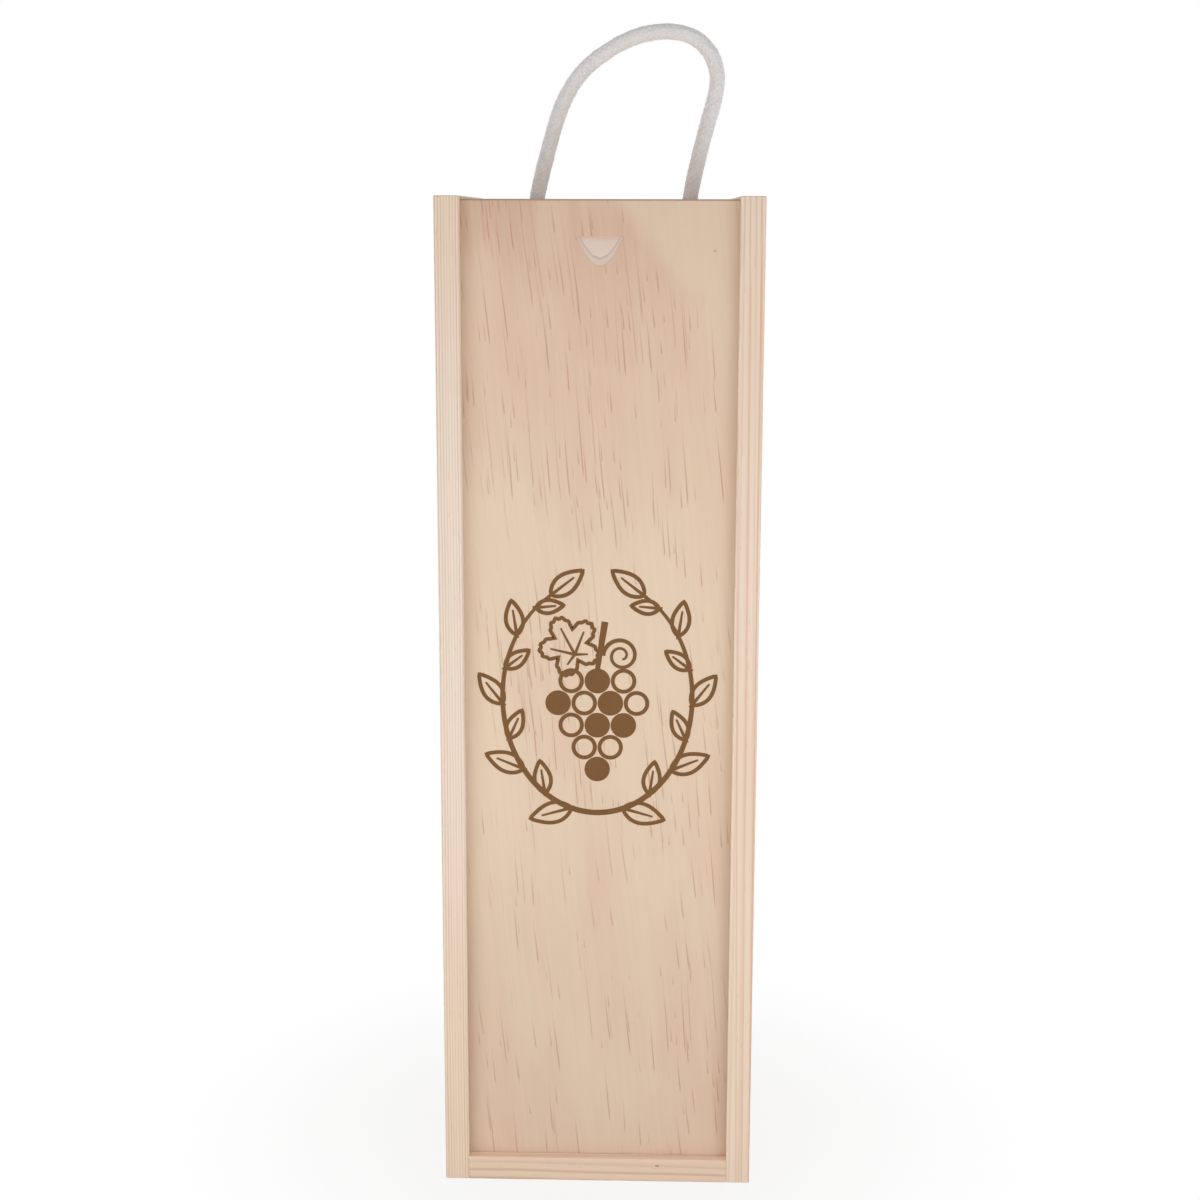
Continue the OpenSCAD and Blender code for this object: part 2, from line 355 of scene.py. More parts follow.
class Wire:
    """A number that flows through a finish, with the usual arithmetic.

    Its size is the number without its sign, whole is the whole number below it, and rest is
    what is left above that.
    """

    __add__ = __radd__ = arithmetic("ADD")
    __sub__ = arithmetic("SUBTRACT")
    __rsub__ = arithmetic("SUBTRACT", swapped=True)
    __mul__ = __rmul__ = arithmetic("MULTIPLY")
    __truediv__ = arithmetic("DIVIDE")
    at_most = arithmetic("MINIMUM")
    at_least = arithmetic("MAXIMUM")
    size = arithmetic("ABSOLUTE")
    whole = arithmetic("FLOOR")
    rest = arithmetic("FRACT")
    power = arithmetic("POWER")

    def __init__(self, graph: "Tree", socket: bpy.types.NodeSocket) -> None:
        """Keeps the tree and the socket that the number comes out of."""
        self.graph = graph
        self.socket = socket

    def rise(self, low: float, high: float) -> "Wire":
        """0 below low, 1 above high and a smooth step between; high may be the lower one.

        Args:
            low: where the step is 0.
            high: where it is 1.

        Returns:
            The step.
        """
        ends = (low, high, 0.0, 1.0) if low < high else (high, low, 1.0, 0.0)
        inputs = dict(enumerate((self, *ends)))
        made = self.graph.node("ShaderNodeMapRange", inputs, interpolation_type="SMOOTHSTEP", clamp=True)
        return Wire(self.graph, made.outputs[0])


Place = tuple[Wire, Wire, Wire]


class Tree:
    """A tree of shader nodes."""

    def __init__(self, tree: bpy.types.NodeTree) -> None:
        """Empties the tree."""
        self.tree = tree
        self.tree.nodes.clear()

    def feed(self, socket: bpy.types.NodeSocket, value: object) -> None:
        """Joins a wire or a socket to an input, or sets the input to a plain value.

        Args:
            socket: the input.
            value: a wire, a socket, a number, a place or a colour.
        """
        if isinstance(value, Wire):
            value = value.socket
        if isinstance(value, bpy.types.NodeSocket):
            self.tree.links.new(value, socket)
        else:
            socket.default_value = value

    def node(self, kind: str, inputs: dict | None = None, **settings: object) -> bpy.types.Node:
        """A new node.

        Args:
            kind: its type.
            inputs: what each input is fed, by the input's name or number.
            settings: the node's own settings.

        Returns:
            The node.
        """
        made = self.tree.nodes.new(kind)
        for key, value in settings.items():
            setattr(made, key, value)
        for key, value in (inputs or {}).items():
            self.feed(made.inputs[key], value)
        return made

    def math(self, operation: str, first: object, second: object = 0.0) -> Wire:
        """One step of arithmetic."""
        made = self.node("ShaderNodeMath", {0: first, 1: second}, operation=operation)
        return Wire(self, made.outputs[0])

    def seen(self) -> Wire:
        """1 for the rays by which the camera, gloss or glass sees the background.

        Returns:
            1 for those rays and 0 for all others.
        """
        rays = self.node("ShaderNodeLightPath").outputs
        most = Wire(self, rays["Is Camera Ray"])
        for name in ("Is Glossy Ray", "Is Transmission Ray"):
            most = most.at_least(Wire(self, rays[name]))
        return most


class Graph(Tree):
    """The nodes of one material, with its shader and its output in place."""

    def __init__(
        self, name: str, roughness: float, specular: float, sheen: float = 0.0, metal: float = 0.0
    ) -> None:
        """Starts a material.

        Args:
            name: the material's name.
            roughness: the shader's own roughness.
            specular: the shader's specular level.
            sheen: the weight of its sheen.
            metal: 1 for bare metal.
        """
        self.material = bpy.data.materials.new(name)
        self.material.use_nodes = True
        super().__init__(self.material.node_tree)
        levels = {"Roughness": roughness, "Specular IOR Level": specular, "Metallic": metal}
        fuzz = {"Sheen Weight": sheen, "Sheen Roughness": 0.6}
        self.shader = self.node("ShaderNodeBsdfPrincipled", levels | fuzz)
        self.output = self.node("ShaderNodeOutputMaterial", {0: self.shader.outputs[0]}).inputs[0]
        self.places = self.node("ShaderNodeTexCoord").outputs

    def split(self, socket: bpy.types.NodeSocket) -> Place:
        """The three numbers of a place, a direction or a colour."""
        return tuple(Wire(self, out) for out in self.node("ShaderNodeSeparateXYZ", {0: socket}).outputs)

    def place(self, x: object, y: object, z: object = 0.0) -> bpy.types.NodeSocket:
        """Three numbers as one place."""
        return self.node("ShaderNodeCombineXYZ", {0: x, 1: y, 2: z}).outputs[0]

    def scaled(self, socket: object, by: object) -> bpy.types.NodeSocket:
        """Three numbers, each times the same one."""
        return self.node("ShaderNodeVectorMath", {0: socket, "Scale": by}, operation="SCALE").outputs[0]

    def object_place(self) -> Place:
        """Where a point lies in the object's own frame, in millimetres."""
        return self.split(self.scaled(self.places["Object"], TO_MM))

    def facing(self) -> Place:
        """The direction that the surface faces, in the object's own frame."""
        return self.split(self.places["Normal"])

    def cloud(self, x: object, y: object, z: object, detail: float = 1.0, grit: float = 0.5) -> Wire:
        """Smooth noise about 0, mostly between -0.5 and 0.5.

        Args:
            x: first number of the place, in cells.
            y: second number.
            z: third number.
            detail: how many finer layers are added.
            grit: how strong the finer layers are.

        Returns:
            The noise.
        """
        inputs = {"Vector": self.place(x, y, z), "Scale": 1.0, "Detail": detail, "Roughness": grit}
        return Wire(self, self.node("ShaderNodeTexNoise", inputs).outputs[0]) - 0.5

    def grain(self, place: Place, size: Pair, detail: float, grit: float = 0.5, shift: float = 0.0) -> Wire:
        """Noise drawn out along the fibres of wood.

        Args:
            place: two places across the fibres and one along them, in millimetres.
            size: how wide and how long a cell is.
            detail: how many finer layers are added.
            grit: how strong the finer layers are.
            shift: moves the pattern across, in cells.

        Returns:
            The noise.
        """
        wide, long = size
        first = place[0] / wide + shift if shift else place[0] / wide
        return self.cloud(first, place[1] / wide, place[2] / long, detail, grit)

    def chance(self, value: Wire) -> Wire:
        """A number from 0 to 1 that jumps with each value."""
        made = self.node("ShaderNodeTexWhiteNoise", {"W": value}, noise_dimensions="1D")
        return Wire(self, made.outputs["Value"])

    def tint(self, share: object, low: object, high: object, blend: str = "MIX") -> bpy.types.NodeSocket:
        """One colour laid over another.

        Args:
            share: 0 gives the low colour, 1 the high one.
            low: a colour or a socket.
            high: a colour or a socket.
            blend: how they are laid over each other.

        Returns:
            The colour's socket.
        """
        inputs = {0: share, 6: low, 7: high}
        made = self.node("ShaderNodeMix", inputs, data_type="RGBA", blend_type=blend, clamp_factor=True)
        return made.outputs[2]

    def shade(self, colour: bpy.types.NodeSocket, by: Wire) -> bpy.types.NodeSocket:
        """A colour made lighter or darker."""
        return self.scaled(colour[:3] if isinstance(colour, tuple) else colour, by)

    def flecks(self, u: Wire, v: Wire, cell: Pair, fill: Pair, seed: float) -> tuple[Wire, Wire]:
        """Slender streaks, one in each cell of a grid that is drawn out along v.

        A streak fades in from its upper end, widens and darkens downwards, and ends sharply.

        Args:
            u: place across the streaks, in millimetres.
            v: place along the streaks, in millimetres.
            cell: width and length of a cell, in millimetres.
            fill: half the streak's width and half its length, in cells.
            seed: picks the cells.

        Returns:
            How strong the streak is, from 0 to 1, and a number from 0 to 1 for each cell.
        """
        here_u = u / cell[0] + seed
        here_v = v / cell[1] + seed
        inputs = {"Vector": self.place(here_u, here_v), "Scale": 1.0, "Randomness": 0.85}
        made = self.node("ShaderNodeTexVoronoi", inputs, voronoi_dimensions="2D", feature="F1")
        spot_u, spot_v, _ = self.split(made.outputs["Position"])
        draw, other, _ = self.split(made.outputs["Color"])
        along = (here_v - spot_v) / fill[1] / (other * 0.65 + 0.35)
        taper = along.rise(1.0, -0.6) * along.rise(-1.0, -0.75)
        across = (here_u - spot_u).size() / fill[0] / (taper * 0.6 + 0.4)
        return across.rise(1.0, 0.15) * taper, draw

    def marks(self, a: Wire, b: Wire, places: tuple[Spot, ...]) -> Wire | float:
        """Small soft oval spots, from 0 to 1.

        Args:
            a: first place, in millimetres.
            b: second place.
            places: for each spot its middle in a and b and its half-widths in a and b.

        Returns:
            The strongest of them.
        """
        most: Wire | float = 0.0
        for mid_a, mid_b, half_a, half_b in places:
            off_a = (a - mid_a) / half_a
            off_b = (b - mid_b) / half_b
            most = (off_a * off_a + off_b * off_b).rise(1.0, 0.3).at_least(most)
        return most

    def bruise(self, off_a: Wire, off_b: Wire) -> Wire:
        """The dark rim that a nail's head presses into the wood, from how far off its middle a point is."""
        return (off_a * off_a + off_b * off_b).rise(1.9, 0.55)

    def emboss(self, height: Wire, depth_mm: float) -> None:
        """Lets a pattern stand out of the surface.

        Args:
            height: 0 to 1.
            depth_mm: how far 1 stands above 0.
        """
        inputs = {"Strength": 1.0, "Distance": depth_mm * MM, "Height": height}
        self.feed(self.shader.inputs["Normal"], self.node("ShaderNodeBump", inputs).outputs[0])

    def done(self, colour: object) -> bpy.types.Material:
        """Sets the colour and returns the material."""
        self.feed(self.shader.inputs["Base Color"], colour)
        return self.material


# ---------------------------------------------------------------- finishes


class Grain(Enum):
    """The way the fibres of a board run."""

    UPRIGHT = "z"
    ACROSS = "x"


@dataclass(frozen=True)
class PineFinish:
    """Bare planed pine, coloured through its whole thickness by the growth rings of the tree.

    A ring's number is the distance from the pith, less that of the board's first edge, over the
    ring's width. Its darker late wood rises slowly and ends sharply. Places are in millimetres,
    as (first, second) across the fibres: x and y in an upright board, y and z in a cross one.
    Noise sizes are (width, length) of a cell. Nail heads stand at four places: nails gives their
    distance from the middle of the depth, and from the middle of the height. Below the height
    that fade begins with, the rings keep the share it ends with. A vein is an orange line, as
    (x at the foot, x at its top, top, strength). Painted shade darkens and warms an upright board
    towards both its ends, where the light falls off, and painted light brightens the faces that look up.
    """

    name: str
    early: Colour
    late: Colour
    blush: Colour
    pith: Pair
    first_edge: Pair
    ring: float
    grain: Grain = Grain.UPRIGHT
    spread: float = 0.0
    drift: float = 0.0
    wander: float = 3.0
    uneven: float = 0.9
    late_from: float = 0.35
    depth: float = 1.0
    shift: float = 0.0
    fade: Pair | None = None
    veins: tuple[Spot, ...] = ()
    # painted shade towards both ends of an upright board
    painted_end_shade: Colour | None = None
    painted_end_shade_middle: float = 205.0
    painted_end_shade_from: Pair = (20.0, 130.0)
    marks: tuple[Spot, ...] = ()
    nails: Pair | None = None
    # painted light on the faces that look up
    painted_top_light: float = 0.0
    span: float = 350.0
    fibre_size: Pair = (0.16, 7.0)
    streak_size: Pair = (0.7, 60.0)
    patch_size: Pair = (26.0, 130.0)
    sway_size: Pair = (70.0, 160.0)
    speck_cell: Pair = (1.6, 9.0)
    speck_fill: Pair = (0.07, 0.4)
    speck: Colour = paint(150, 112, 84)
    dark: Colour = paint(120, 84, 60)
    sap: Colour = paint(208, 150, 108)

    def rings(self, g: Graph, a: Wire, b: Wire, run: Wire, sway: tuple[Wire, Wire]) -> Wire:
        """How much late wood there is, from 0 to 1.

        Args:
            g: the material's nodes.
            a: first place across the fibres.
            b: second place across them.
            run: place along them.
            sway: how far the fibres stray in a and b.

        Returns:
            The share of late wood.
        """
        off_a = a - self.pith[0] + sway[0]
        off_b = b - self.pith[1] + sway[1]
        start = math.hypot(self.first_edge[0] - self.pith[0], self.first_edge[1] - self.pith[1])
        out = g.math("SQRT", off_a * off_a + off_b * off_b) - start
        down = 1 - run / self.span
        count = out / self.ring / (1 + down * self.spread) + down * self.drift
        count = count + g.cloud(count / 2.3 + self.shift, 0.5, 0.5) * self.uneven
        share = count.rest()
        late = share.rise(self.late_from, 0.86) * share.rise(1.0, 0.9)
        late = late.power(1.4) * (g.chance(count.whole() + self.shift) * 0.65 + 0.35) * self.depth
        if self.fade is None:
            return late
        turn, kept = self.fade
        return late * (run.rise(turn - 9, turn + 7) * (1 - kept) + kept)

    def blemishes(self, g: Graph, colour: object, place: Place, streak: Wire, sway: Wire) -> object:
        """Lays the orange veins, the dark marks and the nails' rims over the wood.

        Args:
            g: the material's nodes.
            colour: the wood's colour.
            place: the point's x, y and z.
            streak: the noise that breaks a vein up.
            sway: how far a vein strays.

        Returns:
            The colour with its blemishes.
        """
        x, y, z = place
        for low, high, top, strength in self.veins:
            off = (x - low - z * ((high - low) / top) + sway * 0.3).size()
            line = off.rise(0.5, 0.1) * z.rise(top, top - 14) * (streak + 0.75)
            colour = g.tint(line * strength, colour, self.sap)
        if self.marks:
            colour = g.tint(g.marks(x, z, self.marks) * 0.6, colour, self.dark)
        if self.nails is not None:
            rim = g.bruise(y.size() - self.nails[0], (z - NAIL_MIDDLE_MM).size() - self.nails[1])
            colour = g.tint(rim * 0.55, colour, self.dark)
        return colour

    def material(self) -> bpy.types.Material:
        """The material of a board.

        Returns:
            The material, in which the rings run on from face to face.
        """
        g = Graph(self.name, roughness=0.62, specular=0.28)
        x, y, z = g.object_place()
        nx, _, nz = g.facing()
        a, b, run, end = (x, y, z, nz) if self.grain is Grain.UPRIGHT else (y, z, x, nx)
        s = self.shift
        wide, long = self.sway_size
        sway_a = g.grain((a, b, run), self.sway_size, detail=1.5, shift=s) * self.wander
        sway_b = g.cloud(a / wide - s, b / wide + 9, run / (long * 1.25), detail=1.5) * self.wander * 3
        late = self.rings(g, a, b, run, (sway_a, sway_b))
        fibre = g.grain((a, b, run), self.fibre_size, detail=3, grit=0.65)
        streak = g.grain((a, b, run), self.streak_size, detail=2, shift=s)
        patch = g.grain((a, b, run), self.patch_size, detail=1, shift=s)
        colour = g.tint(late, self.early, self.late)
        colour = g.tint((patch * 1.3 + 0.35).at_least(0.0), colour, self.blush, "MULTIPLY")
        # Painted shade: the board is darkened and warmed towards both its ends, where the light falls off.
        if self.painted_end_shade is not None:
            ends = (z - self.painted_end_shade_middle).size().rise(*self.painted_end_shade_from)
            colour = g.tint(ends, colour, self.painted_end_shade, "MULTIPLY")
        sawn = end.size().rise(0.5, 0.95)
        colour = g.shade(colour, 1 + fibre * 0.09 + streak * 0.07 - sawn * (0.16 + 0.12 * late))
        dust, pick = g.flecks(a + b, run, self.speck_cell, self.speck_fill, 3.1 + s)
        colour = g.tint(dust * pick.rise(0.14, 0.1) * (1 - sawn) * 0.35, colour, self.speck)
        # Painted light: faces that look up are made lighter, as if lit from above.
        if self.painted_top_light:
            colour = g.shade(colour, 1 + nz.rise(0.5, 0.95) * self.painted_top_light)
        colour = self.blemishes(g, colour, (x, y, z), streak, sway_a)
        g.emboss(fibre * 0.5 + streak * 0.4 + late * 0.35, 0.05)
        return g.done(colour)


@dataclass(frozen=True)
class PlyFinish:
    """Bare sanded plywood: face veneers with upright grain round a core with cross grain.

    Depth is measured from the front face, along y. The face is pale below and pinker above, with
    slender slanting resin streaks in clusters, and a calmer zone right of a curved line. Noise
    sizes are (width, length) of a cell. Pins stand in two rows up the panel's sides and at its
    ends, each as (from the middle, from the middle or the first height, the step between them).
    """

    name: str
    front_mm: float
    thick_mm: float
    low_mm: float
    high_mm: float
    blush_mm: Pair = (222.0, 288.0)
    blush_lean: float = 0.45
    crown_mm: Pair = (306.0, 347.0)
    calm_mm: Pair = (222.0, 272.0)
    pale: Colour = paint(227, 204, 179)
    warm: Colour = paint(219, 184, 161)
    crown: Colour = paint(203, 168, 144)
    resin: Colour = paint(186, 124, 104)
    bark: Colour = paint(178, 132, 106)
    core: Colour = paint(230, 212, 198)
    cut: Colour = paint(224, 210, 202)
    glue: Colour = paint(190, 168, 152)
    sawn: Colour = paint(150, 122, 103)
    edge: Colour = paint(186, 158, 136)
    veneer_mm: float = 0.62
    slant: float = 0.1
    shift: float = 0.0
    calm_zone: bool = True
    marks: tuple[Spot, ...] = ()
    side_pins: Triple | None = None
    end_pins: Pair | None = None
    hair_size: Pair = (0.13, 6.0)
    wave_size: Pair = (20.0, 90.0)
    slow_size: Pair = (22.0, 80.0)
    band_size: Pair = (7.0, 120.0)
    bend_size: Pair = (40.0, 90.0)
    figure_size: Pair = (3.2, 150.0)
    mottle_size: Pair = (7.0, 16.0)

    def spread(self, g: Graph, across: Wire, z: Wire, size: Pair, layer: float, detail: float) -> Wire:
        """Noise over the face that is the same through the veneer; each layer is another pattern."""
        return g.cloud(across / size[0] + self.shift, layer, z / size[1], detail)

    def calm(self, g: Graph, x: Wire, z: Wire) -> Wire | float:
        """Where the veneer is pale and nearly without streaks: right of a line from the top edge.

        Args:
            g: the material's nodes.
            x: the point's place across.
            z: its height.

        Returns:
            0 to 1.
        """
        if not self.calm_zone:
            return 0.0
        height = self.high_mm - z
        line = 4 + height.at_most(33.0) * 0.7 + height.at_most(66.0) * 0.05 + g.cloud(x / 9, 1.7, z / 14) * 6
        soft = 1 + height.at_most(60.0) * 0.035
        return ((x - line) / soft).rise(-2.0, 6.0) * z.rise(*self.calm_mm)

    def zones(self, g: Graph, x: Wire, z: Wire) -> tuple[Wire, Wire]:
        """Where the veneer is pinker and where it is streaky, both from 0 to 1.

        The streaks thicken sharply at slanting wavy fronts and thin out upwards from each, as
        they do in peeled wood, and the pink goes with them a little.

        Args:
            g: the material's nodes.
            x: the point's place across.
            z: its height.

        Returns:
            The pink and the streakiness.
        """
        u = x + z * self.slant
        wave = self.spread(g, x, z, self.wave_size, 1.4, 1) * 60
        wave = wave + g.cloud(u / 1.1, 6.1, z / 160, detail=1.5) * 42
        saw = ((z + x * 0.95 + wave) / 80 + 0.3 + self.shift).rest()
        flame = saw.rise(0.0, 0.16) * saw.rise(1.0, 0.25)
        slow = self.spread(g, x, z, self.slow_size, 3.3, 2)
        band = self.spread(g, u, z, self.band_size, 8.8, 2)
        upper = (z + x * self.blush_lean).rise(*self.blush_mm)
        still = 1 - self.calm(g, x, z)
        rich = (flame * 0.6 + slow * 1.5 + 0.2 + upper * 0.15).at_least(0.0).at_most(1.0)
        pink = upper * 0.5 + rich * 0.24 + slow * 0.7 + band * 0.55 + z.rise(160.0, 80.0) * 0.25
        pink = pink.at_least(0.0).at_most(1.0) * (still * 0.75 + 0.25)
        return pink, rich * (still * 0.85 + 0.15) * (upper * 0.3 + 0.7)

    def streaks(self, g: Graph, across: Wire, z: Wire, busy: Wire) -> Wire:
        """How strong the resin streaks are, from 0 to 1.

        Four sets of different length are laid over each other, and most of them show only where
        the veneer is streaky. The numbers are the width and length of a cell in millimetres, half
        the streak's size in cells, the share of cells that show one, its strength and its seed.

        Args:
            g: the material's nodes.
            across: the place across the slanting streaks.
            z: the height.
            busy: how streaky the veneer is.

        Returns:
            The strongest of them.
        """
        most: Wire | float = 0.0
        for cell, fill, share, strength, seed in (
            ((3.1, 50.0), (0.12, 0.47), 0.85, 0.66, 1.3),
            ((2.6, 30.0), (0.14, 0.47), 0.62, 0.6, 5.7),
            ((2.0, 13.0), (0.17, 0.45), 0.34, 0.52, 9.2),
            ((4.5, 64.0), (0.07, 0.48), 0.9, 0.42, 3.4),
        ):
            spot, lot = g.flecks(across, z, cell, fill, seed + self.shift)
            kept = (busy * share + 0.03 - lot).rise(0.0, 0.14)
            most = (spot * kept * strength).at_least(most)
        return most

    def pin_rims(self, g: Graph, x: Wire, z: Wire) -> Wire | float:
        """The dark rims round the pins: the heights up the sides repeat at an even step.

        Args:
            g: the material's nodes.
            x: the point's place across.
            z: its height.

        Returns:
            0 to 1.
        """
        most: Wire | float = 0.0
        if self.side_pins is not None:
            across, first, step = self.side_pins
            folded = (((z - first) / step + 0.5).rest() - 0.5) * step
            most = g.bruise(x.size() - across, folded)
        if self.end_pins is not None:
            across, up = self.end_pins
            most = g.bruise(x.size() - across, (z - NAIL_MIDDLE_MM).size() - up).at_least(most)
        return most

    def layers(self, g: Graph, face: object, hair: Wire, place: Place) -> object:
        """Colours the wood by its depth: the face, its cut veneer, the glue and the core.

        Args:
            g: the material's nodes.
            face: the face's colour.
            hair: the noise of the fine fibres.
            place: the point's x, y and z.

        Returns:
            The colour at any depth.
        """
        x, y, z = place
        depth = (y - self.front_mm).at_most((self.front_mm + self.thick_mm) - y)
        cross = g.cloud(x / 9, y / 0.2, z / 0.22, detail=3, grit=0.6)
        inner = g.shade(g.tint(cross.rise(-0.1, 0.4) * 0.35, self.core, self.warm), 1 + cross * 0.12)
        colour = g.tint(depth.rise(self.veneer_mm, self.veneer_mm + 0.04), face, inner)
        line = (depth - self.veneer_mm).size().rise(0.2, 0.02)
        colour = g.tint(line * (0.55 + hair), colour, self.glue)
        under = depth.rise(0.05, 0.2) * depth.rise(self.veneer_mm, self.veneer_mm - 0.1)
        return g.tint(under * 0.75, colour, self.cut)

    def material(self) -> bpy.types.Material:
        """The material of a panel.

        Returns:
            The material, with its layers on every cut edge.
        """
        g = Graph(self.name, roughness=0.6, specular=0.26)
        x, y, z = g.object_place()
        pink, busy = self.zones(g, x, z)
        u = x + z * self.slant + self.spread(g, x, z, self.bend_size, 4.1, 1) * 6
        hair = g.grain((u, y, z), self.hair_size, detail=3, grit=0.7)
        thread = g.cloud(u / 0.8 + self.shift, y, z / 45, detail=2, grit=0.6)
        figure = self.spread(g, u, z, self.figure_size, 2.2, 2)
        mottle = self.spread(g, x, z, self.mottle_size, 6.6, 3)
        streaks = self.streaks(g, u + g.cloud(u / 1.5, 7.7, z / 5, detail=2) * 0.3, z, busy)
        face = g.tint((pink + figure * 0.4 + mottle * 0.35 - 0.07).at_least(0.0), self.pale, self.warm)
        top = z.rise(*self.crown_mm) * pink.rise(0.35, 0.9)
        face = g.tint(top * (figure + 0.45) + z.rise(*self.crown_mm) * 0.16, face, self.crown)
        ink = g.tint(z.rise(*self.blush_mm), self.bark, self.resin)
        face = g.tint((streaks * (0.9 + hair * 0.7)).at_least(0.0), face, ink)
        # Painted shade: darker within 14 mm of the bottom, beside the foot board's lip, and a little darker
        # over the lower half, where the light falls off.
        low = z.rise(14.0, 4.5) * 0.08 + z.rise(170.0, 70.0) * 0.05
        face = g.shade(face, 1 - low + hair * 0.06 + thread * 0.07 + figure * 0.05 + mottle * 0.03)
        if self.marks:
            face = g.tint(g.marks(x, z, self.marks) * 0.55, face, self.bark)
        colour = self.layers(g, face, hair, (x, y, z))
        upward = g.facing()[2].size()
        rim = (self.high_mm - z).at_most(z - self.low_mm)
        colour = g.tint(upward.rise(0.5, 0.9) * 0.5, colour, self.edge)
        # A dark line, up to 0.6 mm wide, along the top and bottom edges of the faces.
        colour = g.tint(rim.rise(0.6, 0.15) * upward.rise(0.9, 0.5) * 0.8, colour, self.sawn)
        colour = g.tint(self.pin_rims(g, x, z) * 0.5, colour, self.bark)
        g.emboss(hair * 0.4 + thread * 0.4 - streaks * 0.1, 0.04)
        return g.done(colour)


@dataclass(frozen=True)
class StainFinish:
    """A flat brown stain printed on wood, through which the fibres just show."""

    name: str = "lid_print"
    colour: Colour = paint(122, 86, 50)

    def material(self) -> bpy.types.Material:
        """The material of the print.

        Returns:
            The material.
        """
        g = Graph(self.name, roughness=0.66, specular=0.18)
        x, y, z = g.object_place()
        hair = g.cloud(x / 0.14 + z * 0.6, y, z / 6, detail=3, grit=0.65)
        blot = g.cloud(x / 6, y, z / 22, detail=1)
        g.emboss(hair, 0.02)
        return g.done(g.shade(self.colour, 1 + hair * 0.16 + blot * 0.1))


@dataclass(frozen=True)
class CottonFinish:
    """Soft undyed braided cotton; it reads how deep a point lies between the strands, and paints shade in
    the hollows there and where the rope comes near the box.
    """

    name: str = "cotton_rope"
    crown: Colour = paint(237, 234, 233)
    painted_valley_shade: Colour = paint(220, 216, 214)
    painted_box_shade: Colour = paint(244, 240, 240)

    def material(self) -> bpy.types.Material:
        """The material of the rope and its knots.

        Returns:
            The material.
        """
        g = Graph(self.name, roughness=0.9, specular=0.12, sheen=0.35)
        rise, lean = (
            Wire(g, g.node("ShaderNodeAttribute", attribute_name=name).outputs["Fac"])
            for name in ("strand", "lean")
        )
        run, girth, _ = g.split(g.scaled(g.places["UV"], TO_MM))
        one = g.cloud((run - girth) / 0.13, (run + girth) / 1.6, 1.0, detail=2, grit=0.6)
        two = g.cloud((run + girth) / 0.13, (run - girth) / 1.6, 5.0, detail=2, grit=0.6)
        yarn = one * lean + two * (1 - lean)
        x, y, z = g.object_place()
        fluff = g.cloud(x / 0.35, y / 0.35, z / 0.35, detail=3, grit=0.7)
        patch = g.cloud(x / 7, y / 7, z / 7, detail=1)
        # Painted shade: the hollows between the strands are darker than the strands' crowns.
        shade = rise.rise(0.0, 0.75) * 0.8 + yarn * 0.5 + fluff * 0.5 + 0.1
        colour = g.tint(shade.at_most(1.0).at_least(0.0), self.painted_valley_shade, self.crown)
        # Painted shade: the rope is darker and warmer where it comes near the head board.
        painted_box_shade_share = z.rise(368.0, 350.0) * 0.45
        colour = g.tint(painted_box_shade_share, colour, self.painted_box_shade, "MULTIPLY")
        colour = g.shade(colour, 1 + patch * 0.08 + fluff * 0.14)
        g.emboss(yarn * 0.6 + fluff * 0.45, 0.05)
        return g.done(colour)


@dataclass(frozen=True)
class FluffFinish:
    """Loose cotton fibres that stand off the rope."""

    name: str = "cotton_fluff"
    colour: Colour = paint(226, 222, 218)

    def material(self) -> bpy.types.Material:
        """The material of the loose fibres.

        Returns:
            The material.
        """
        g = Graph(self.name, roughness=0.95, specular=0.1, sheen=0.3)
        x, y, z = g.object_place()
        blot = g.cloud(x / 2, y / 2, z / 2, detail=1)
        return g.done(g.shade(self.colour, 1 + blot * 0.12))


@dataclass(frozen=True)
class SteelFinish:
    """Plain bright wire steel with the marks of the hammer and a little dullness."""

    name: str = "steel_nails"
    colour: Colour = paint(138, 136, 136)

    def material(self) -> bpy.types.Material:
        """The material of the brads and pins.

        Returns:
            The material.
        """
        g = Graph(self.name, roughness=0.38, specular=0.5, metal=1.0)
        x, y, z = g.object_place()
        scratch = g.cloud(x / 0.8, y / 0.08, z / 0.5, detail=3, grit=0.7)
        dull = g.cloud(x / 0.7, y / 0.7, z / 0.7, detail=2)
        g.feed(g.shader.inputs["Roughness"], 0.5 + dull * 0.3)
        g.emboss(scratch + dull, 0.02)
        return g.done(g.shade(self.colour, 1 + dull * 0.3 + scratch * 0.2))


def dress(piece: bpy.types.Object, material: bpy.types.Material) -> None:
    """Puts a finish on every material slot of a piece.

    Args:
        piece: the object.
        material: its finish.
    """
    if not piece.material_slots:
        piece.data.materials.append(material)
    for place in piece.material_slots:
        place.material = material


# ---------------------------------------------------------------- studio


def stand(data: bpy.types.ID, columns: list) -> bpy.types.Object:
    """Puts a camera or a lamp in the scene.

    Args:
        data: the camera or the light.
        columns: its right, its up, its back and its place.

    Returns:
        The object.
    """
    made = bpy.data.objects.new(data.name, data)
    made.matrix_world = Matrix([*np.array(columns).T.tolist(), [0, 0, 0, 1]])
    bpy.context.scene.collection.objects.link(made)
    return made


@dataclass(frozen=True)
class Lamp:
    """A soft square lamp: where it stands, where it shines and its side, in metres, and its watts."""

    name: str
    place: Triple
    aim: Triple
    width: float
    power: float

    def build(self) -> None:
        """Hangs the lamp."""
        light = bpy.data.lights.new(self.name, "AREA")
        light.shape = "SQUARE"
        light.size = self.width
        light.energy = self.power
        way = unit(np.subtract(self.aim, self.place))
        side = unit(np.cross(way, [0, 0, 1]))
        stand(light, [side, np.cross(side, way), -way, self.place])


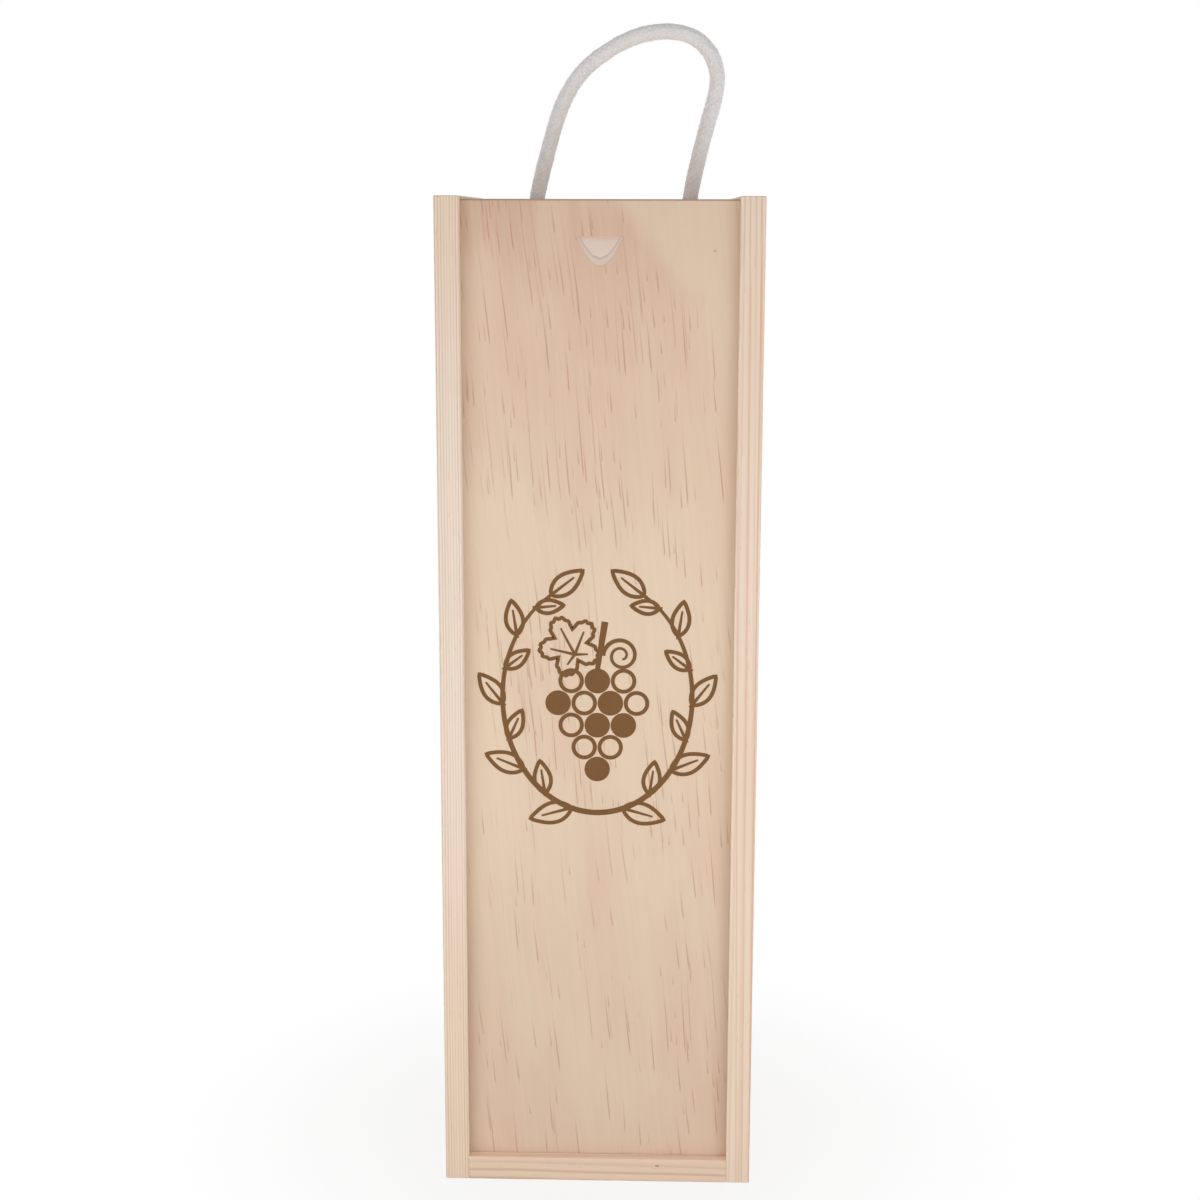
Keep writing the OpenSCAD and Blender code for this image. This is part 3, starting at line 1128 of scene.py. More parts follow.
@dataclass
class Studio:
    """The camera of the photograph, a pale sweep and soft light from all round.

    Places are in metres. The sweep's paper glows white by the share lift at the object, which
    rises to 1 between near_mm and far_mm from the middle of the floor.
    """

    eye: Triple = (0.01895, -0.71016, 0.3425)
    right: Triple = (0.99959, 0.02845, 0.00247)
    down: Triple = (0.00783, -0.19009, -0.98174)
    ahead: Triple = (-0.02746, 0.98136, -0.19023)
    sensor_mm: float = 36.0
    picture: float = 1200.0
    focal_pixels: float = 1967.1
    clip: Pair = (0.01, 50.0)
    sky: float = 0.42
    floor_tone: float = 0.74
    lift: float = 0.83
    near_mm: float = 65.0
    far_mm: float = 180.0
    half_wide: float = 3.0
    floor_front: float = -2.5
    floor_back: float = 1.2
    bend: float = 0.8
    wall_top: float = 3.0
    lamps: tuple[Lamp, ...] = (
        Lamp("key", (0.32, -0.36, 0.17), (0.0, 0.0, 0.18), 0.35, 0.74),
        Lamp("fill", (-0.32, -0.36, 0.165), (0.0, 0.0, 0.175), 0.35, 0.73),
        Lamp("back_left", (-0.85, 0.6, 0.35), (0.0, 0.0, 0.18), 0.8, 3.0),
        Lamp("back_right", (0.85, 0.6, 0.35), (0.0, 0.0, 0.18), 0.8, 3.0),
        Lamp("front_high", (0.05, -1.05, 0.95), (0.0, 0.0, 0.1), 0.8, 1.7),
        Lamp("above", (0.02, 0.75, 0.95), (0.0, 0.0, 0.3), 0.6, 3.0),
    )

    def camera(self) -> None:
        """Stands the camera where the photograph was taken from."""
        lens = bpy.data.cameras.new("camera")
        lens.sensor_width = self.sensor_mm
        lens.lens = self.focal_pixels * self.sensor_mm / self.picture
        lens.clip_start, lens.clip_end = self.clip
        columns = [self.right, np.negative(self.down), np.negative(self.ahead), self.eye]
        bpy.context.scene.camera = stand(lens, columns)

    def sky_light(self) -> None:
        """Even light from all round, seen as plain white."""
        world = bpy.data.worlds.new("studio")
        world.use_nodes = True
        bpy.context.scene.world = world
        tree = Tree(world.node_tree)
        glow, white = (
            tree.node("ShaderNodeBackground", {0: (1, 1, 1, 1), 1: strength}).outputs[0]
            for strength in (self.sky, 1.0)
        )
        either = tree.node("ShaderNodeMixShader", {0: tree.seen(), 1: glow, 2: white})
        tree.node("ShaderNodeOutputWorld", {0: either.outputs[0]})

    def sweep_material(self) -> bpy.types.Material:
        """Pale matt paper that turns to plain white away from the object.

        Returns:
            The material.
        """
        g = Graph("studio_paper", roughness=0.95, specular=0.0)
        x, y, z = g.object_place()
        far = g.math("SQRT", x * x + y * y + z * z).rise(self.near_mm, self.far_mm)
        share = (far * (1 - self.lift) + self.lift) * g.seen()
        white = g.node("ShaderNodeEmission").outputs[0]
        either = g.node("ShaderNodeMixShader", {0: share, 1: g.shader.outputs[0], 2: white})
        g.feed(g.output, either.outputs[0])
        return g.done((self.floor_tone,) * 3 + (1.0,))

    def sweep(self) -> None:
        """Floor and backdrop in one: a flat, a quarter circle and a wall, carried sideways."""
        turn = np.linspace(0, math.pi / 2, 17)[1:]
        start, wall = self.floor_back, self.floor_back + self.bend
        depth = np.array([self.floor_front, start, *(start + self.bend * np.sin(turn)), wall])
        height = np.array([0, 0, *(self.bend * (1 - np.cos(turn))), self.wall_top])
        grid = np.empty((len(depth), 2, 3))
        grid[..., 0] = [-self.half_wide, self.half_wide]
        grid[..., 1] = depth[:, None]
        grid[..., 2] = height[:, None]
        quads = grid_faces(grid_quads(len(depth), 2, False, False), len(depth), 2)
        paper = new_piece("studio_sweep", grid.reshape(-1, 3), quads.tolist())
        paper.data.shade_smooth()
        dress(paper, self.sweep_material())

    def build(self) -> None:
        """Sets the view transform, the light and the sweep."""
        bpy.context.scene.view_settings.view_transform = "Standard"
        self.sky_light()
        for lamp in self.lamps:
            lamp.build()
        self.sweep()


# ---------------------------------------------------------------- rope


@dataclass
class Rope:
    """The braided handle and the two overhand knots under the head board.

    The route is the handle's middle line above the head board, drawn as listed points. A knot's sizes
    are in pitches of the rope. The skin's swell is the braid's relief, its sag the slow unevenness of
    the rope and its fuzz the roughness of the cotton, each with the size of its cells. A loose hair's
    length is a share of hair_long within hair_spread, and it leans out and curls by shares too.
    """

    thick: float = 5.3 * MM
    squeezed: float = 0.83
    knot_gap: float = 0.5 * MM
    seat_gap: float = 0.3 * MM
    tail: float = 9.0 * MM
    hole_left: float = -24.0 * MM
    hole_right: float = 30.0 * MM
    head_under: float = 340.5 * MM
    head_top: float = 349.0 * MM
    knot_turn_left: float = 0.0
    knot_turn_right: float = -25.0
    strands: int = 8
    pic: float = 2.0 * MM
    swell: float = 0.24 * MM
    level: float = 0.7
    ridge: float = 0.55
    uneven: float = 0.12
    uneven_cell: float = 5.0 * MM
    sag: float = 0.09 * MM
    sag_cell: float = 9.0 * MM
    fuzz: float = 0.09 * MM
    fuzz_cell: float = 0.7 * MM
    fuzz_round: float = 3.4
    fuzz_waves: int = 24
    step: float = 0.26 * MM
    sides: int = 72
    smooth_below: float = 75.0
    hairs: int = 2600
    hair_long: float = 0.75 * MM
    hair_spread: Pair = (0.35, 1.6)
    hair_thick: float = 0.017 * MM
    hair_out: float = 0.55
    hair_curl: float = 0.45
    hair_sunk: float = 0.06 * MM
    hair_rows: int = 4
    hair_sides: int = 3
    lead: float = 2.5 * MM
    grow_mm: Pair = (3.0, 9.0)
    frayed: float = 0.45 * MM
    frayed_over: float = 1.6 * MM
    loose_over: float = 6.0 * MM
    length: float = 0.1667
    route: np.ndarray = field(
        default_factory=lambda: np.array([
            [-23.6, 0], [-21.8, 8.5], [-19.8, 16.5], [-17.3, 25], [-14.4, 33], [-10.9, 39.5],
            [-6.4, 45], [-0.5, 49.8], [6, 53.6], [13, 56.3], [20.5, 57.6], [27.4, 57],
            [33.4, 54.2], [37.6, 49.3], [39.5, 43.4], [39.3, 37.4], [38, 31.5], [36.3, 25.5],
            [34.6, 19.5], [32.4, 10], [30.5, 0],
        ]) * MM
    )
    wrap: Triple = (2.0, 1.7, 1.35)
    wrap_from: float = 40.0
    wrap_points: int = 12
    core_drop: float = 0.35
    elbow: np.ndarray = field(
        default_factory=lambda: np.array([[0.5, 0, 0.25], [0.65, 0, 0.75], [1.3, 0.2, 1], [1.7, 0.75, 0.7]])
    )

    def handle_path(self) -> np.ndarray:
        """Up the left hole, along the drawn route and down the right hole.

        Returns:
            The handle's centreline.
        """
        flat = np.array([
            [self.hole_left, self.head_under],
            [self.hole_left, self.head_under + self.lead],
            *(self.route + [0, self.head_top]),
            [self.hole_right, self.head_under + self.lead],
            [self.hole_right, self.head_under],
        ])
        points = np.stack([flat[:, 0], np.zeros(len(flat)), flat[:, 1]], axis=1)
        return evenly(curve(points, 24, Curve.THROUGH), self.step)

    def knot_path(self, hole: float, turn: float) -> np.ndarray:
        """An overhand knot that hangs under its hole.

        Down through the core, out by the lower elbow, one and a bit turns round the core and up,
        in by the upper elbow and down through the core again, as a cubic B-spline.

        Args:
            hole: x of the hole.
            turn: how far the knot is turned about the standing strand, in degrees.

        Returns:
            The knot's centreline.
        """
        pitch = self.thick * self.squeezed + self.knot_gap
        half_x, half_y, rise = self.wrap
        low = np.column_stack([self.elbow[:, :2], -rise / 2 - self.elbow[:, 2]]) * pitch
        share = np.linspace(0, 1, self.wrap_points)
        angle = np.radians(self.wrap_from + (540 - 2 * self.wrap_from) * share)
        around = np.column_stack([circle(angle) * [half_x, half_y], rise * (share - 0.5)]) * pitch
        high = low[::-1] * [-1, 1, -1]
        loop = curve(np.vstack([low, around, high]), 3, Curve.NEAR)
        half = loop[:, 2].max() + self.thick * self.squeezed / 2
        top = half + self.seat_gap
        core_x = 0.5 * pitch
        core_z = (rise / 2 - self.core_drop) * pitch
        lead = np.linspace(top, -core_z, 4)[:, None] * [0, 0, 1] + [core_x, 0, 0]
        tail = np.linspace(core_z, -(half + self.tail), 5)[:, None] * [0, 0, 1] - [core_x, 0, 0]
        path = curve(np.vstack([lead, low, around, high, tail]), 16, Curve.NEAR) - [core_x, 0, 0]
        c, s = circle(math.radians(turn))
        spin = np.array([[c, -s, 0], [s, c, 0], [0, 0, 1]])
        return evenly(path @ spin.T + [hole, 0, self.head_under - top], self.step)

    def braid(self, run: np.ndarray, turn: np.ndarray, seed: int) -> tuple[np.ndarray, np.ndarray]:
        """Height of the braid's surface and which way its yarn leans.

        Two sets of strands cross: p counts the ones that lean one way and q the others. In each
        cell of p and q the upper strand is the one whose turn it is, and it stands highest in
        its middle: 1 - (2p)^2 across it and, less strongly, 1 - (2q)^2 along it.

        Args:
            run: (rows, 1), distance along the rope.
            turn: (1, columns), angle round it.
            seed: picks the unevenness.

        Returns:
            Heights from 0 to 1, and 1 or 0 for the two ways of leaning.
        """
        around = self.strands * turn / (2 * math.pi)
        uneven = self.uneven * ripple(seed, run / self.uneven_cell, np.cos(turn), np.sin(turn))
        p = around + run / self.pic + uneven
        q = around - run / self.pic + uneven
        first = (np.floor(p) + np.floor(q)) % 2 == 0
        bulge_p = 1 - (2 * (p - np.floor(p)) - 1) ** 2
        bulge_q = 1 - (2 * (q - np.floor(q)) - 1) ** 2
        over_q = bulge_p * (self.ridge + (1 - self.ridge) * bulge_q)
        over_p = bulge_q * (self.ridge + (1 - self.ridge) * bulge_p)
        height = np.where(first, over_q, over_p)
        return np.sqrt(np.clip(height, 0, 1)), first.astype(float)

    def surface(self, path: np.ndarray, radii: np.ndarray, seed: int) -> tuple[np.ndarray, ...]:
        """The braided tube along a path.

        Args:
            path: (rows, 3).
            radii: (rows,), the rope's radius at each row.
            seed: picks the unevenness.

        Returns:
            The grid, the heights and the leanings.
        """
        run = lengths_along(path)[:, None]
        turn = np.linspace(0, 2 * math.pi, self.sides, endpoint=False)[None, :]
        height, lean = self.braid(run, turn, seed)
        x, y = np.cos(turn), np.sin(turn)
        round_x, round_y = self.fuzz_round * x, self.fuzz_round * y
        rough = ripple(seed + 1, run / self.fuzz_cell, round_x, round_y, waves=self.fuzz_waves)
        slack = ripple(seed + 2, run / self.sag_cell, x, y)
        skin = radii[:, None] + self.swell * (height - self.level) + self.fuzz * rough + self.sag * slack
        return tube_grid(path, skin, np.array([0.0, 1.0, 0.0])), height, lean

    def piece(self, name: str, path: np.ndarray, radii: np.ndarray, seed: int) -> bpy.types.Object:
        """A stretch of rope as a finished piece.

        Args:
            name: the piece's name.
            path: its centreline.
            radii: its radius at each point of that.
            seed: picks the unevenness.

        Returns:
            The piece.
        """
        grid, height, lean = self.surface(path, radii, seed)
        run = lengths_along(path)
        girth = np.linspace(0, math.pi * self.thick, self.sides + 1)
        places = np.stack(np.meshgrid(run, girth, indexing="ij"), axis=-1)
        rope = grid_piece(name, grid, skin=places, smooth_below=self.smooth_below)
        note(rope, "strand", height)
        note(rope, "lean", lean)
        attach(rope, CASE)
        return rope

    def fluff(self, grid: np.ndarray, seed: int) -> bpy.types.Object:
        """Loose fibres that stand off a surface.

        Each is a three-sided needle along a curve: root + way * t + curl * t^2, its thickness
        falling to a fifth at the tip.

        Args:
            grid: (rows, columns, 3), the surface that they grow from.
            seed: picks them.

        Returns:
            The piece.
        """
        draw = np.random.default_rng(seed)
        count, tall, wide = self.hairs, self.hair_rows, self.hair_sides
        rows = draw.integers(2, grid.shape[0] - 2, count)
        columns = draw.integers(0, grid.shape[1], count)
        root = grid[rows, columns]
        out = unit(root - grid[rows].mean(axis=1))
        ahead = unit(grid[rows + 1].mean(axis=1) - grid[rows - 1].mean(axis=1))
        lean = draw.normal(0, 1.0, (count, 2))
        way = unit(out * self.hair_out + ahead * lean[:, :1] + np.cross(ahead, out) * lean[:, 1:])
        size = self.hair_long * draw.uniform(*self.hair_spread, count)[:, None]
        curl = draw.normal(0, self.hair_curl, (count, 3)) * size
        t = np.linspace(0, 1, tall)[None, :, None]
        line = (root - out * self.hair_sunk)[:, None]
        line = line + way[:, None] * size[:, None] * t + curl[:, None] * t**2
        side = unit(np.cross(way, [0.3, 0.5, 0.8]))
        corners = circle(np.arange(wide) * 2 * math.pi / wide)
        ring = corners @ np.stack([side, np.cross(way, side)], axis=1)
        points = line[:, :, None] + ring[:, None] * self.hair_thick * (1 - 0.8 * t[..., None])
        steps = np.arange(count)[:, None, None] * tall * wide
        sides = grid_faces(grid_quads(tall, wide, False, True), tall, wide) + steps
        ends = np.array(end_faces(tall, wide)) + steps
        faces = sides.reshape(-1, 4).tolist() + ends.reshape(-1, wide).tolist()
        tuft = new_piece("rope_fluff", points.reshape(-1, 3), faces)
        face_out(tuft, 120.0)
        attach(tuft, CASE)
        return tuft

    def knot(self, side: str, hole: float, turn: float) -> bpy.types.Object:
        """A knot whose rope is pinched, but for its tail, and frays a little at the cut end.

        Args:
            side: left or right.
            hole: x of its hole.
            turn: how far it is turned, in degrees.

        Returns:
            The piece.
        """
        line = self.knot_path(hole, turn)
        far = lengths_along(line)
        left = far[-1] - far
        pinched = self.thick * self.squeezed / 2
        swell = self.frayed * np.exp(-((left / self.frayed_over) ** 2))
        loose = (self.thick / 2 - pinched) * np.exp(-((left / self.loose_over) ** 2))
        knot = self.piece(f"knot_{side}", line, pinched + loose + swell, seed=21 + len(side))
        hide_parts(f"rope_knot_{side}")
        LOG.info("knot_%s: %.1f mm of rope", side, far[-1] * TO_MM)
        return knot

    def build(self) -> None:
        path = self.handle_path()
        run = lengths_along(path)
        into = np.minimum(run, run[-1] - run)
        pinched = self.thick * self.squeezed / 2
        low, high = self.grow_mm
        grow = np.clip((into - low * MM) / ((high - low) * MM), 0, 1)
        radii = pinched + (self.thick / 2 - pinched) * grow * grow * (3 - 2 * grow)
        handle = self.piece("rope", path, radii, seed=11)
        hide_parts("rope_handle")
        LOG.info("rope: %.1f mm between its knots", run[-1] * TO_MM)
        knots = [
            self.knot("left", self.hole_left, self.knot_turn_left),
            self.knot("right", self.hole_right, self.knot_turn_right),
        ]
        fluff = self.fluff(self.surface(path, radii, seed=11)[0], seed=31)
        cotton = CottonFinish().material()
        for rope in (handle, *knots):
            dress(rope, cotton)
        dress(fluff, FluffFinish().material())
        LOG.info("rope_fluff: %d fibres", self.hairs)


# ---------------------------------------------------------------- case


@dataclass
class Case:
    """Two grooved side boards, the foot board, the head board, the back panel and the nails.

    A chip in the edge beside the lid is (height, half its length, depth), in millimetres.
    """

    wide: float = 110.0 * MM
    deep: float = 100.0 * MM
    tall: float = 350.0 * MM
    side: float = 8.5 * MM
    end: float = 8.5 * MM
    sunk: float = 0.05 * MM
    front_lip: float = 4.4 * MM
    groove: float = 4.4 * MM
    groove_deep: float = 4.0 * MM
    rebate: float = 4.0 * MM
    back: float = 4.0 * MM
    end_ease: float = 0.4 * MM
    row_step: float = 2.5 * MM
    foot_rows: int = 60
    nails: Pair = (26.0, 170.25)
    side_radii: tuple[float, ...] = (0.42, 0.55, 0.5, 0.25, 0.15, 0.25, 0.2, 0.12, 0.12, 0.3)
    foot_radii: tuple[float, ...] = (0.45, 0.2, 0.2, 0.25, 0.15, 0.15, 0.3, 0.55)
    nick_share: float = 0.08
    chips_left: tuple[Triple, ...] = ((324, 2.2, 0.35), (331, 1.2, 0.2), (120, 5, 0.2))
    chips_right: tuple[Triple, ...] = (
        (332, 3.6, 0.75), (326, 1.6, 0.3), (311, 2.4, 0.35), (341, 9, 0.3), (306.5, 1.0, 0.5),
    )

    def side_corners(self) -> np.ndarray:
        """Corners of a right-hand side board's outline, seen from above, counter-clockwise.

        Returns:
            (10, 2) in metres.
        """
        inner = self.wide / 2 - self.side
        outer = self.wide / 2 - self.sunk
        front, back = -self.deep / 2, self.deep / 2
        lip = front + self.front_lip
        return np.array([
            [inner, front], [outer, front], [outer, back], [inner + self.rebate, back],
            [inner + self.rebate, back - self.back], [inner, back - self.back],
            [inner, lip + self.groove], [inner + self.groove_deep, lip + self.groove],
            [inner + self.groove_deep, lip], [inner, lip],
        ])

    def rows(self) -> tuple[np.ndarray, np.ndarray]:
        """Places up a side board and how far its outline is drawn in there, by a quarter circle.

        Returns:
            Places from 0 to the top, and the distance that the outline shrinks at each.
        """
        long, ease = self.tall, self.end_ease
        turn = np.linspace(0, math.pi / 2, 5)
        place = np.concatenate([[0], ease * (1 - np.cos(turn)), [ease * 1.4]])
        draw = np.concatenate([[ease * 1.5], ease * (1 - np.sin(turn)), [0]])
        middle = np.linspace(ease * 1.4, long - ease * 1.4, int(long / self.row_step))[1:-1]
        return (
            np.concatenate([place, middle, long - place[::-1]]),
            np.concatenate([draw, np.zeros(len(middle)), draw[::-1]]),
        )

    def worn(
        self, radii: np.ndarray, run: np.ndarray, seed: int, cells: Pair, share: float, apart: float
    ) -> np.ndarray:
        """Corner radii that wander along a board, by slow wear and small nicks.

        Args:
            radii: the mean radius of each corner.
            run: places along the board.
            seed: picks the wear, and the next seed the nicks.
            cells: the length of the wear and of the nicks, in millimetres.
            share: how strong the wear is.
            apart: how unlike each other the corners wear.

        Returns:
            (places, corners).
        """
        place = np.arange(len(radii))[None, :] * apart
        wear = ripple(seed, run[:, None] / (cells[0] * MM), place) * share
        nick = ripple(seed + 1, run[:, None] / (cells[1] * MM), place) * self.nick_share
        return radii[None, :] * (1 + wear + nick)

    def side_board(self, name: str, mirror: bool, chips: tuple[Triple, ...], seed: int) -> bpy.types.Object:
        """A side board: its eased outline carried upwards, its edges worn unevenly.

        Args:
            name: the piece's name.
            mirror: whether it is the left-hand one.
            chips: the chips of the edge beside the lid, worn in as bell curves.
            seed: picks the wear.

        Returns:
            The piece.
        """
        height, draw = self.rows()
        ease = self.worn(np.array(self.side_radii) * MM, height, seed, (14, 2.6), 0.16, 3.7)
        edge = np.zeros_like(height)
        for place, width, size in chips:
            edge += size * MM * np.exp(-(((height - place * MM) / (width * MM)) ** 2))
        ease[:, 0] += edge
        outline = eased_outline(self.side_corners(), ease, draw)
        along = np.broadcast_to(height[:, None, None], outline.shape[:2] + (1,))
        grid = np.concatenate([outline, along], axis=2) * [-1 if mirror else 1, 1, 1]
        board = grid_piece(name, grid)
        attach(board, CASE)
        return board

    def foot_board(self) -> bpy.types.Object:
        """The foot board: its grooved outline carried across, between the side boards.

        Returns:
            The piece.
        """
        front, seat = -self.deep / 2, self.deep / 2 - self.back
        lip = front + self.front_lip
        low = self.end - self.groove_deep
        corners = np.array([
            [front, 0], [seat, 0], [seat, self.end], [lip + self.groove, self.end],
            [lip + self.groove, low], [lip, low], [lip, self.end], [front, self.end],
        ])
        half = self.wide / 2 - self.side
        across = np.linspace(-half, half, self.foot_rows)
        ease = self.worn(np.array(self.foot_radii) * MM, across, 71, (12, 2.5), 0.18, 3.1)
        outline = eased_outline(corners, ease, np.zeros(len(across)))
        along = np.broadcast_to(across[:, None, None], outline.shape[:2] + (1,))
        board = grid_piece("foot", np.concatenate([along, outline], axis=2))
        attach(board, CASE)
        return board

    def build(self) -> None:
        """Makes and dresses the case."""
        left_wood = PineFinish(
            "pine_side_left", early=paint(239, 225, 213), late=paint(209, 180, 156),
            blush=paint(250, 244, 236), pith=(-160, -62), first_edge=(-46.5, -50), ring=0.98,
            wander=1.4, uneven=0.7, late_from=0.3, shift=2.0, painted_end_shade=paint(250, 243, 233), nails=self.nails,
        )
        right_wood = PineFinish(
            "pine_side_right", early=paint(234, 215, 196), late=paint(208, 164, 132),
            blush=paint(250, 241, 235), pith=(-46, -70), first_edge=(46.17, -50), ring=1.85,
            spread=0.95, drift=0.5, wander=0.9, uneven=0.25, late_from=0.5, depth=0.68, shift=7.0,
            veins=((54.7, 53.6, 336.0, 0.6), (52.1, 50.1, 330.0, 0.45), (50.1, 46.6, 285.0, 0.4)),
            fade=(330.0, 0.5), nails=self.nails,
        )
        foot_wood = PineFinish(
            "pine_foot", early=paint(230, 207, 186), late=paint(204, 158, 124),
            blush=paint(250, 241, 234), pith=(-90, 60), first_edge=(-50, 8.5), ring=2.6,
            grain=Grain.ACROSS, wander=4.5, depth=0.8, shift=4.0, marks=((21.6, 6.1, 1.0, 0.4),), painted_top_light=0.07,
        )
        head_wood = PineFinish(
            "pine_head", early=paint(230, 208, 186), late=paint(206, 162, 130),
            blush=paint(250, 241, 233), pith=(20, 290), first_edge=(-41, 349), ring=2.2,
            grain=Grain.ACROSS, wander=4.5, shift=9.0,
        )
        left = self.side_board("board_left", True, self.chips_left, seed=41)
        dress(left, left_wood.material())
        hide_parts("side_left")
        right = self.side_board("board_right", False, self.chips_right, seed=51)
        dress(right, right_wood.material())
        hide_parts("side_right")
        foot = self.foot_board()
        dress(foot, foot_wood.material())
        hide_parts("foot_board")
        for board in (left, right, foot):
            LOG.info("%s: %d faces", board.name, len(board.data.polygons))
        dress(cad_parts["head_board"], head_wood.material())
        panel = PlyFinish(
            "plywood_back", front_mm=46.0, thick_mm=4.0, low_mm=0.0, high_mm=349.0,
            blush_mm=(20.0, 330.0), shift=6.0, calm_zone=False, side_pins=(48.5, 26.0, 99.0),
            end_pins=(23.25, 170.25),
        )
        dress(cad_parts["back_panel"], panel.material())
        steel = SteelFinish().material()
        for name in ("corner_brads", "back_pins"):
            dress(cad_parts[name], steel)
        LOG.info("head_board, back_panel, corner_brads and back_pins: dressed")


# ---------------------------------------------------------------- lid


@dataclass(frozen=True)
class Stroke:
    """A line of the print: its middle line in x and z, half its width, its closing and its layer."""

    line: np.ndarray
    half: np.ndarray
    ring: bool = False
    layer: int = 0


@dataclass
class Ornament:
    """A wreath of leaves round a bunch of grapes, drawn in flat lines, in millimetres."""

    middle: Pair = (-0.5, 179.0)
    wreath: Pair = (33.0, 41.5)
    leaf: Pair = (17.5, 8.4)
    pen: float = 0.82
    grape: float = 3.75
    grape_step: float = 9.1
    row_drop: float = 0.87
    rows: tuple[int, ...] = (3, 4, 3, 2, 1)
    solid: tuple[int, ...] = (1, 3, 5, 8, 9, 12)

    def twig(self) -> Stroke:
        """The wreath's stalk: an arc of an ellipse, open at the top, that thins towards its tips."""
        turn = np.radians(np.linspace(-240, 60, 120))
        return Stroke(circle(turn) * self.wreath, 1.0 - 0.5 * np.linspace(-1, 1, len(turn)) ** 2)

    def blade(self, root: np.ndarray, way: float, size: float) -> list[Stroke]:
        """A leaf: its outline, whose half-width is w sin(pi t^0.8), and its midrib.

        Args:
            root: where it leaves the twig.
            way: its direction, in radians.
            size: its size, as a share of the wreath's full leaf.

        Returns:
            Two strokes.
        """
        long, wide = self.leaf[0] * size, self.leaf[1] * size / 2
        t = np.linspace(0, 1, 22)
        bulge = wide * np.sin(math.pi * t**0.8) ** 0.9
        there = np.stack([t * long, bulge], axis=1)
        back = np.stack([t[-2:0:-1] * long, -bulge[-2:0:-1]], axis=1)
        vein = np.stack([np.linspace(-1.2, long * 0.72, 14), np.zeros(14)], axis=1)
        spin = np.array([[math.cos(way), math.sin(way)], [-math.sin(way), math.cos(way)]])
        edge = np.vstack([there, back]) @ spin + root
        return [
            Stroke(edge, np.full(len(edge), self.pen * 0.85), ring=True, layer=2),
            Stroke(vein @ spin + root, np.linspace(0.65, 0.35, 14), layer=1),
        ]

    def wreath_leaves(self, side: int) -> list[Stroke]:
        """Leaves to both sides of one twig and one at its tip.

        Args:
            side: 1 for the right half and -1 for the left.

        Returns:
            The leaves' strokes.
        """
        made = []
        for order, turn in enumerate(np.radians(np.linspace(-74, 50, 8))):
            root = circle(turn) * self.wreath
            ahead = math.atan2(self.wreath[1] * math.cos(turn), -self.wreath[0] * math.sin(turn))
            outward = order % 2 == 0
            way = ahead - 0.62 if outward else ahead + 0.72
            size = (0.86 if outward else 0.7) * (1 - 0.03 * order)
            root, way = (root, way) if side > 0 else (root * [-1, 1], math.pi - way)
            made += self.blade(root, way, size)
        tip = math.radians(61)
        root = np.array([side * self.wreath[0] * math.cos(tip), self.wreath[1] * math.sin(tip)])
        way = math.radians(142) if side > 0 else math.radians(38)
        return made + self.blade(root, way, 0.8)

    def berry(self, centre: np.ndarray, solid: bool) -> list[Stroke]:
        """A grape: a ring, and a disc inside it where it is solid.

        Args:
            centre: its middle.
            solid: whether it is filled.

        Returns:
            One or two strokes.
        """
        turn = np.linspace(0, 2 * math.pi, 40, endpoint=False)
        ring = centre + self.grape * circle(turn)
        made = [Stroke(ring, np.full(40, self.pen * 0.85), ring=True, layer=2)]
        if solid:
            t = np.cos(np.linspace(math.pi, 0, 24)) * self.grape
            bar = centre + np.stack([t, np.zeros(24)], axis=1)
            made.append(Stroke(bar, np.sqrt(np.maximum(self.grape**2 - t**2, 0.0004))))
        return made

    def bunch(self, top: float) -> list[Stroke]:
        """Grapes in rows that hang from a height, each row set between those of the last.

        Args:
            top: the height of the first row.

        Returns:
            The grapes' strokes.
        """
        made = []
        count = 0
        for row, number in enumerate(self.rows):
            for place in range(number):
                aside = (place - (number - 1) / 2) * self.grape_step
                centre = np.array([aside, top - row * self.grape_step * self.row_drop])
                made += self.berry(centre, count in self.solid)
                count += 1
        return made

    def vine_leaf(self, centre: np.ndarray, size: float, tilt: float) -> list[Stroke]:
        """A five-lobed leaf: r = size (0.5 + 0.5 |cos 2.5 a|^0.75), finely toothed, and its veins.

        Args:
            centre: its middle.
            size: its greatest radius.
            tilt: the way that its middle lobe points, in radians.

        Returns:
            Six strokes.
        """
        turn = np.linspace(0, 2 * math.pi, 160, endpoint=False)
        radius = size * (0.5 + 0.5 * np.abs(np.cos(2.5 * turn)) ** 0.75) * (1 + 0.035 * np.cos(30 * turn))
        edge = centre + radius[:, None] * circle(turn + tilt)
        made = [Stroke(edge, np.full(160, self.pen * 0.8), ring=True, layer=3)]
        base = centre - 0.34 * size * circle(tilt)
        for lobe in range(-2, 3):
            way = tilt + lobe * 2 * math.pi / 5
            end = centre + 0.66 * size * circle(way)
            line = base + (end - base) * np.linspace(0, 1, 10)[:, None]
            made.append(Stroke(line, np.linspace(0.55, 0.3, 10), layer=6 + lobe))
        return made

    def tendril(self, root: np.ndarray) -> Stroke:
        """A curl: a spiral whose radius shrinks evenly as it turns.

        Args:
            root: where it starts.

        Returns:
            Its stroke.
        """
        turn = np.linspace(0, 3.4 * math.pi, 70)
        radius = np.linspace(6.2, 1.3, 70)
        curl = np.stack([radius[0] - radius * np.cos(turn), radius * np.sin(turn)], axis=1)
        return Stroke(root + curl, np.linspace(0.75, 0.4, 70), layer=5)

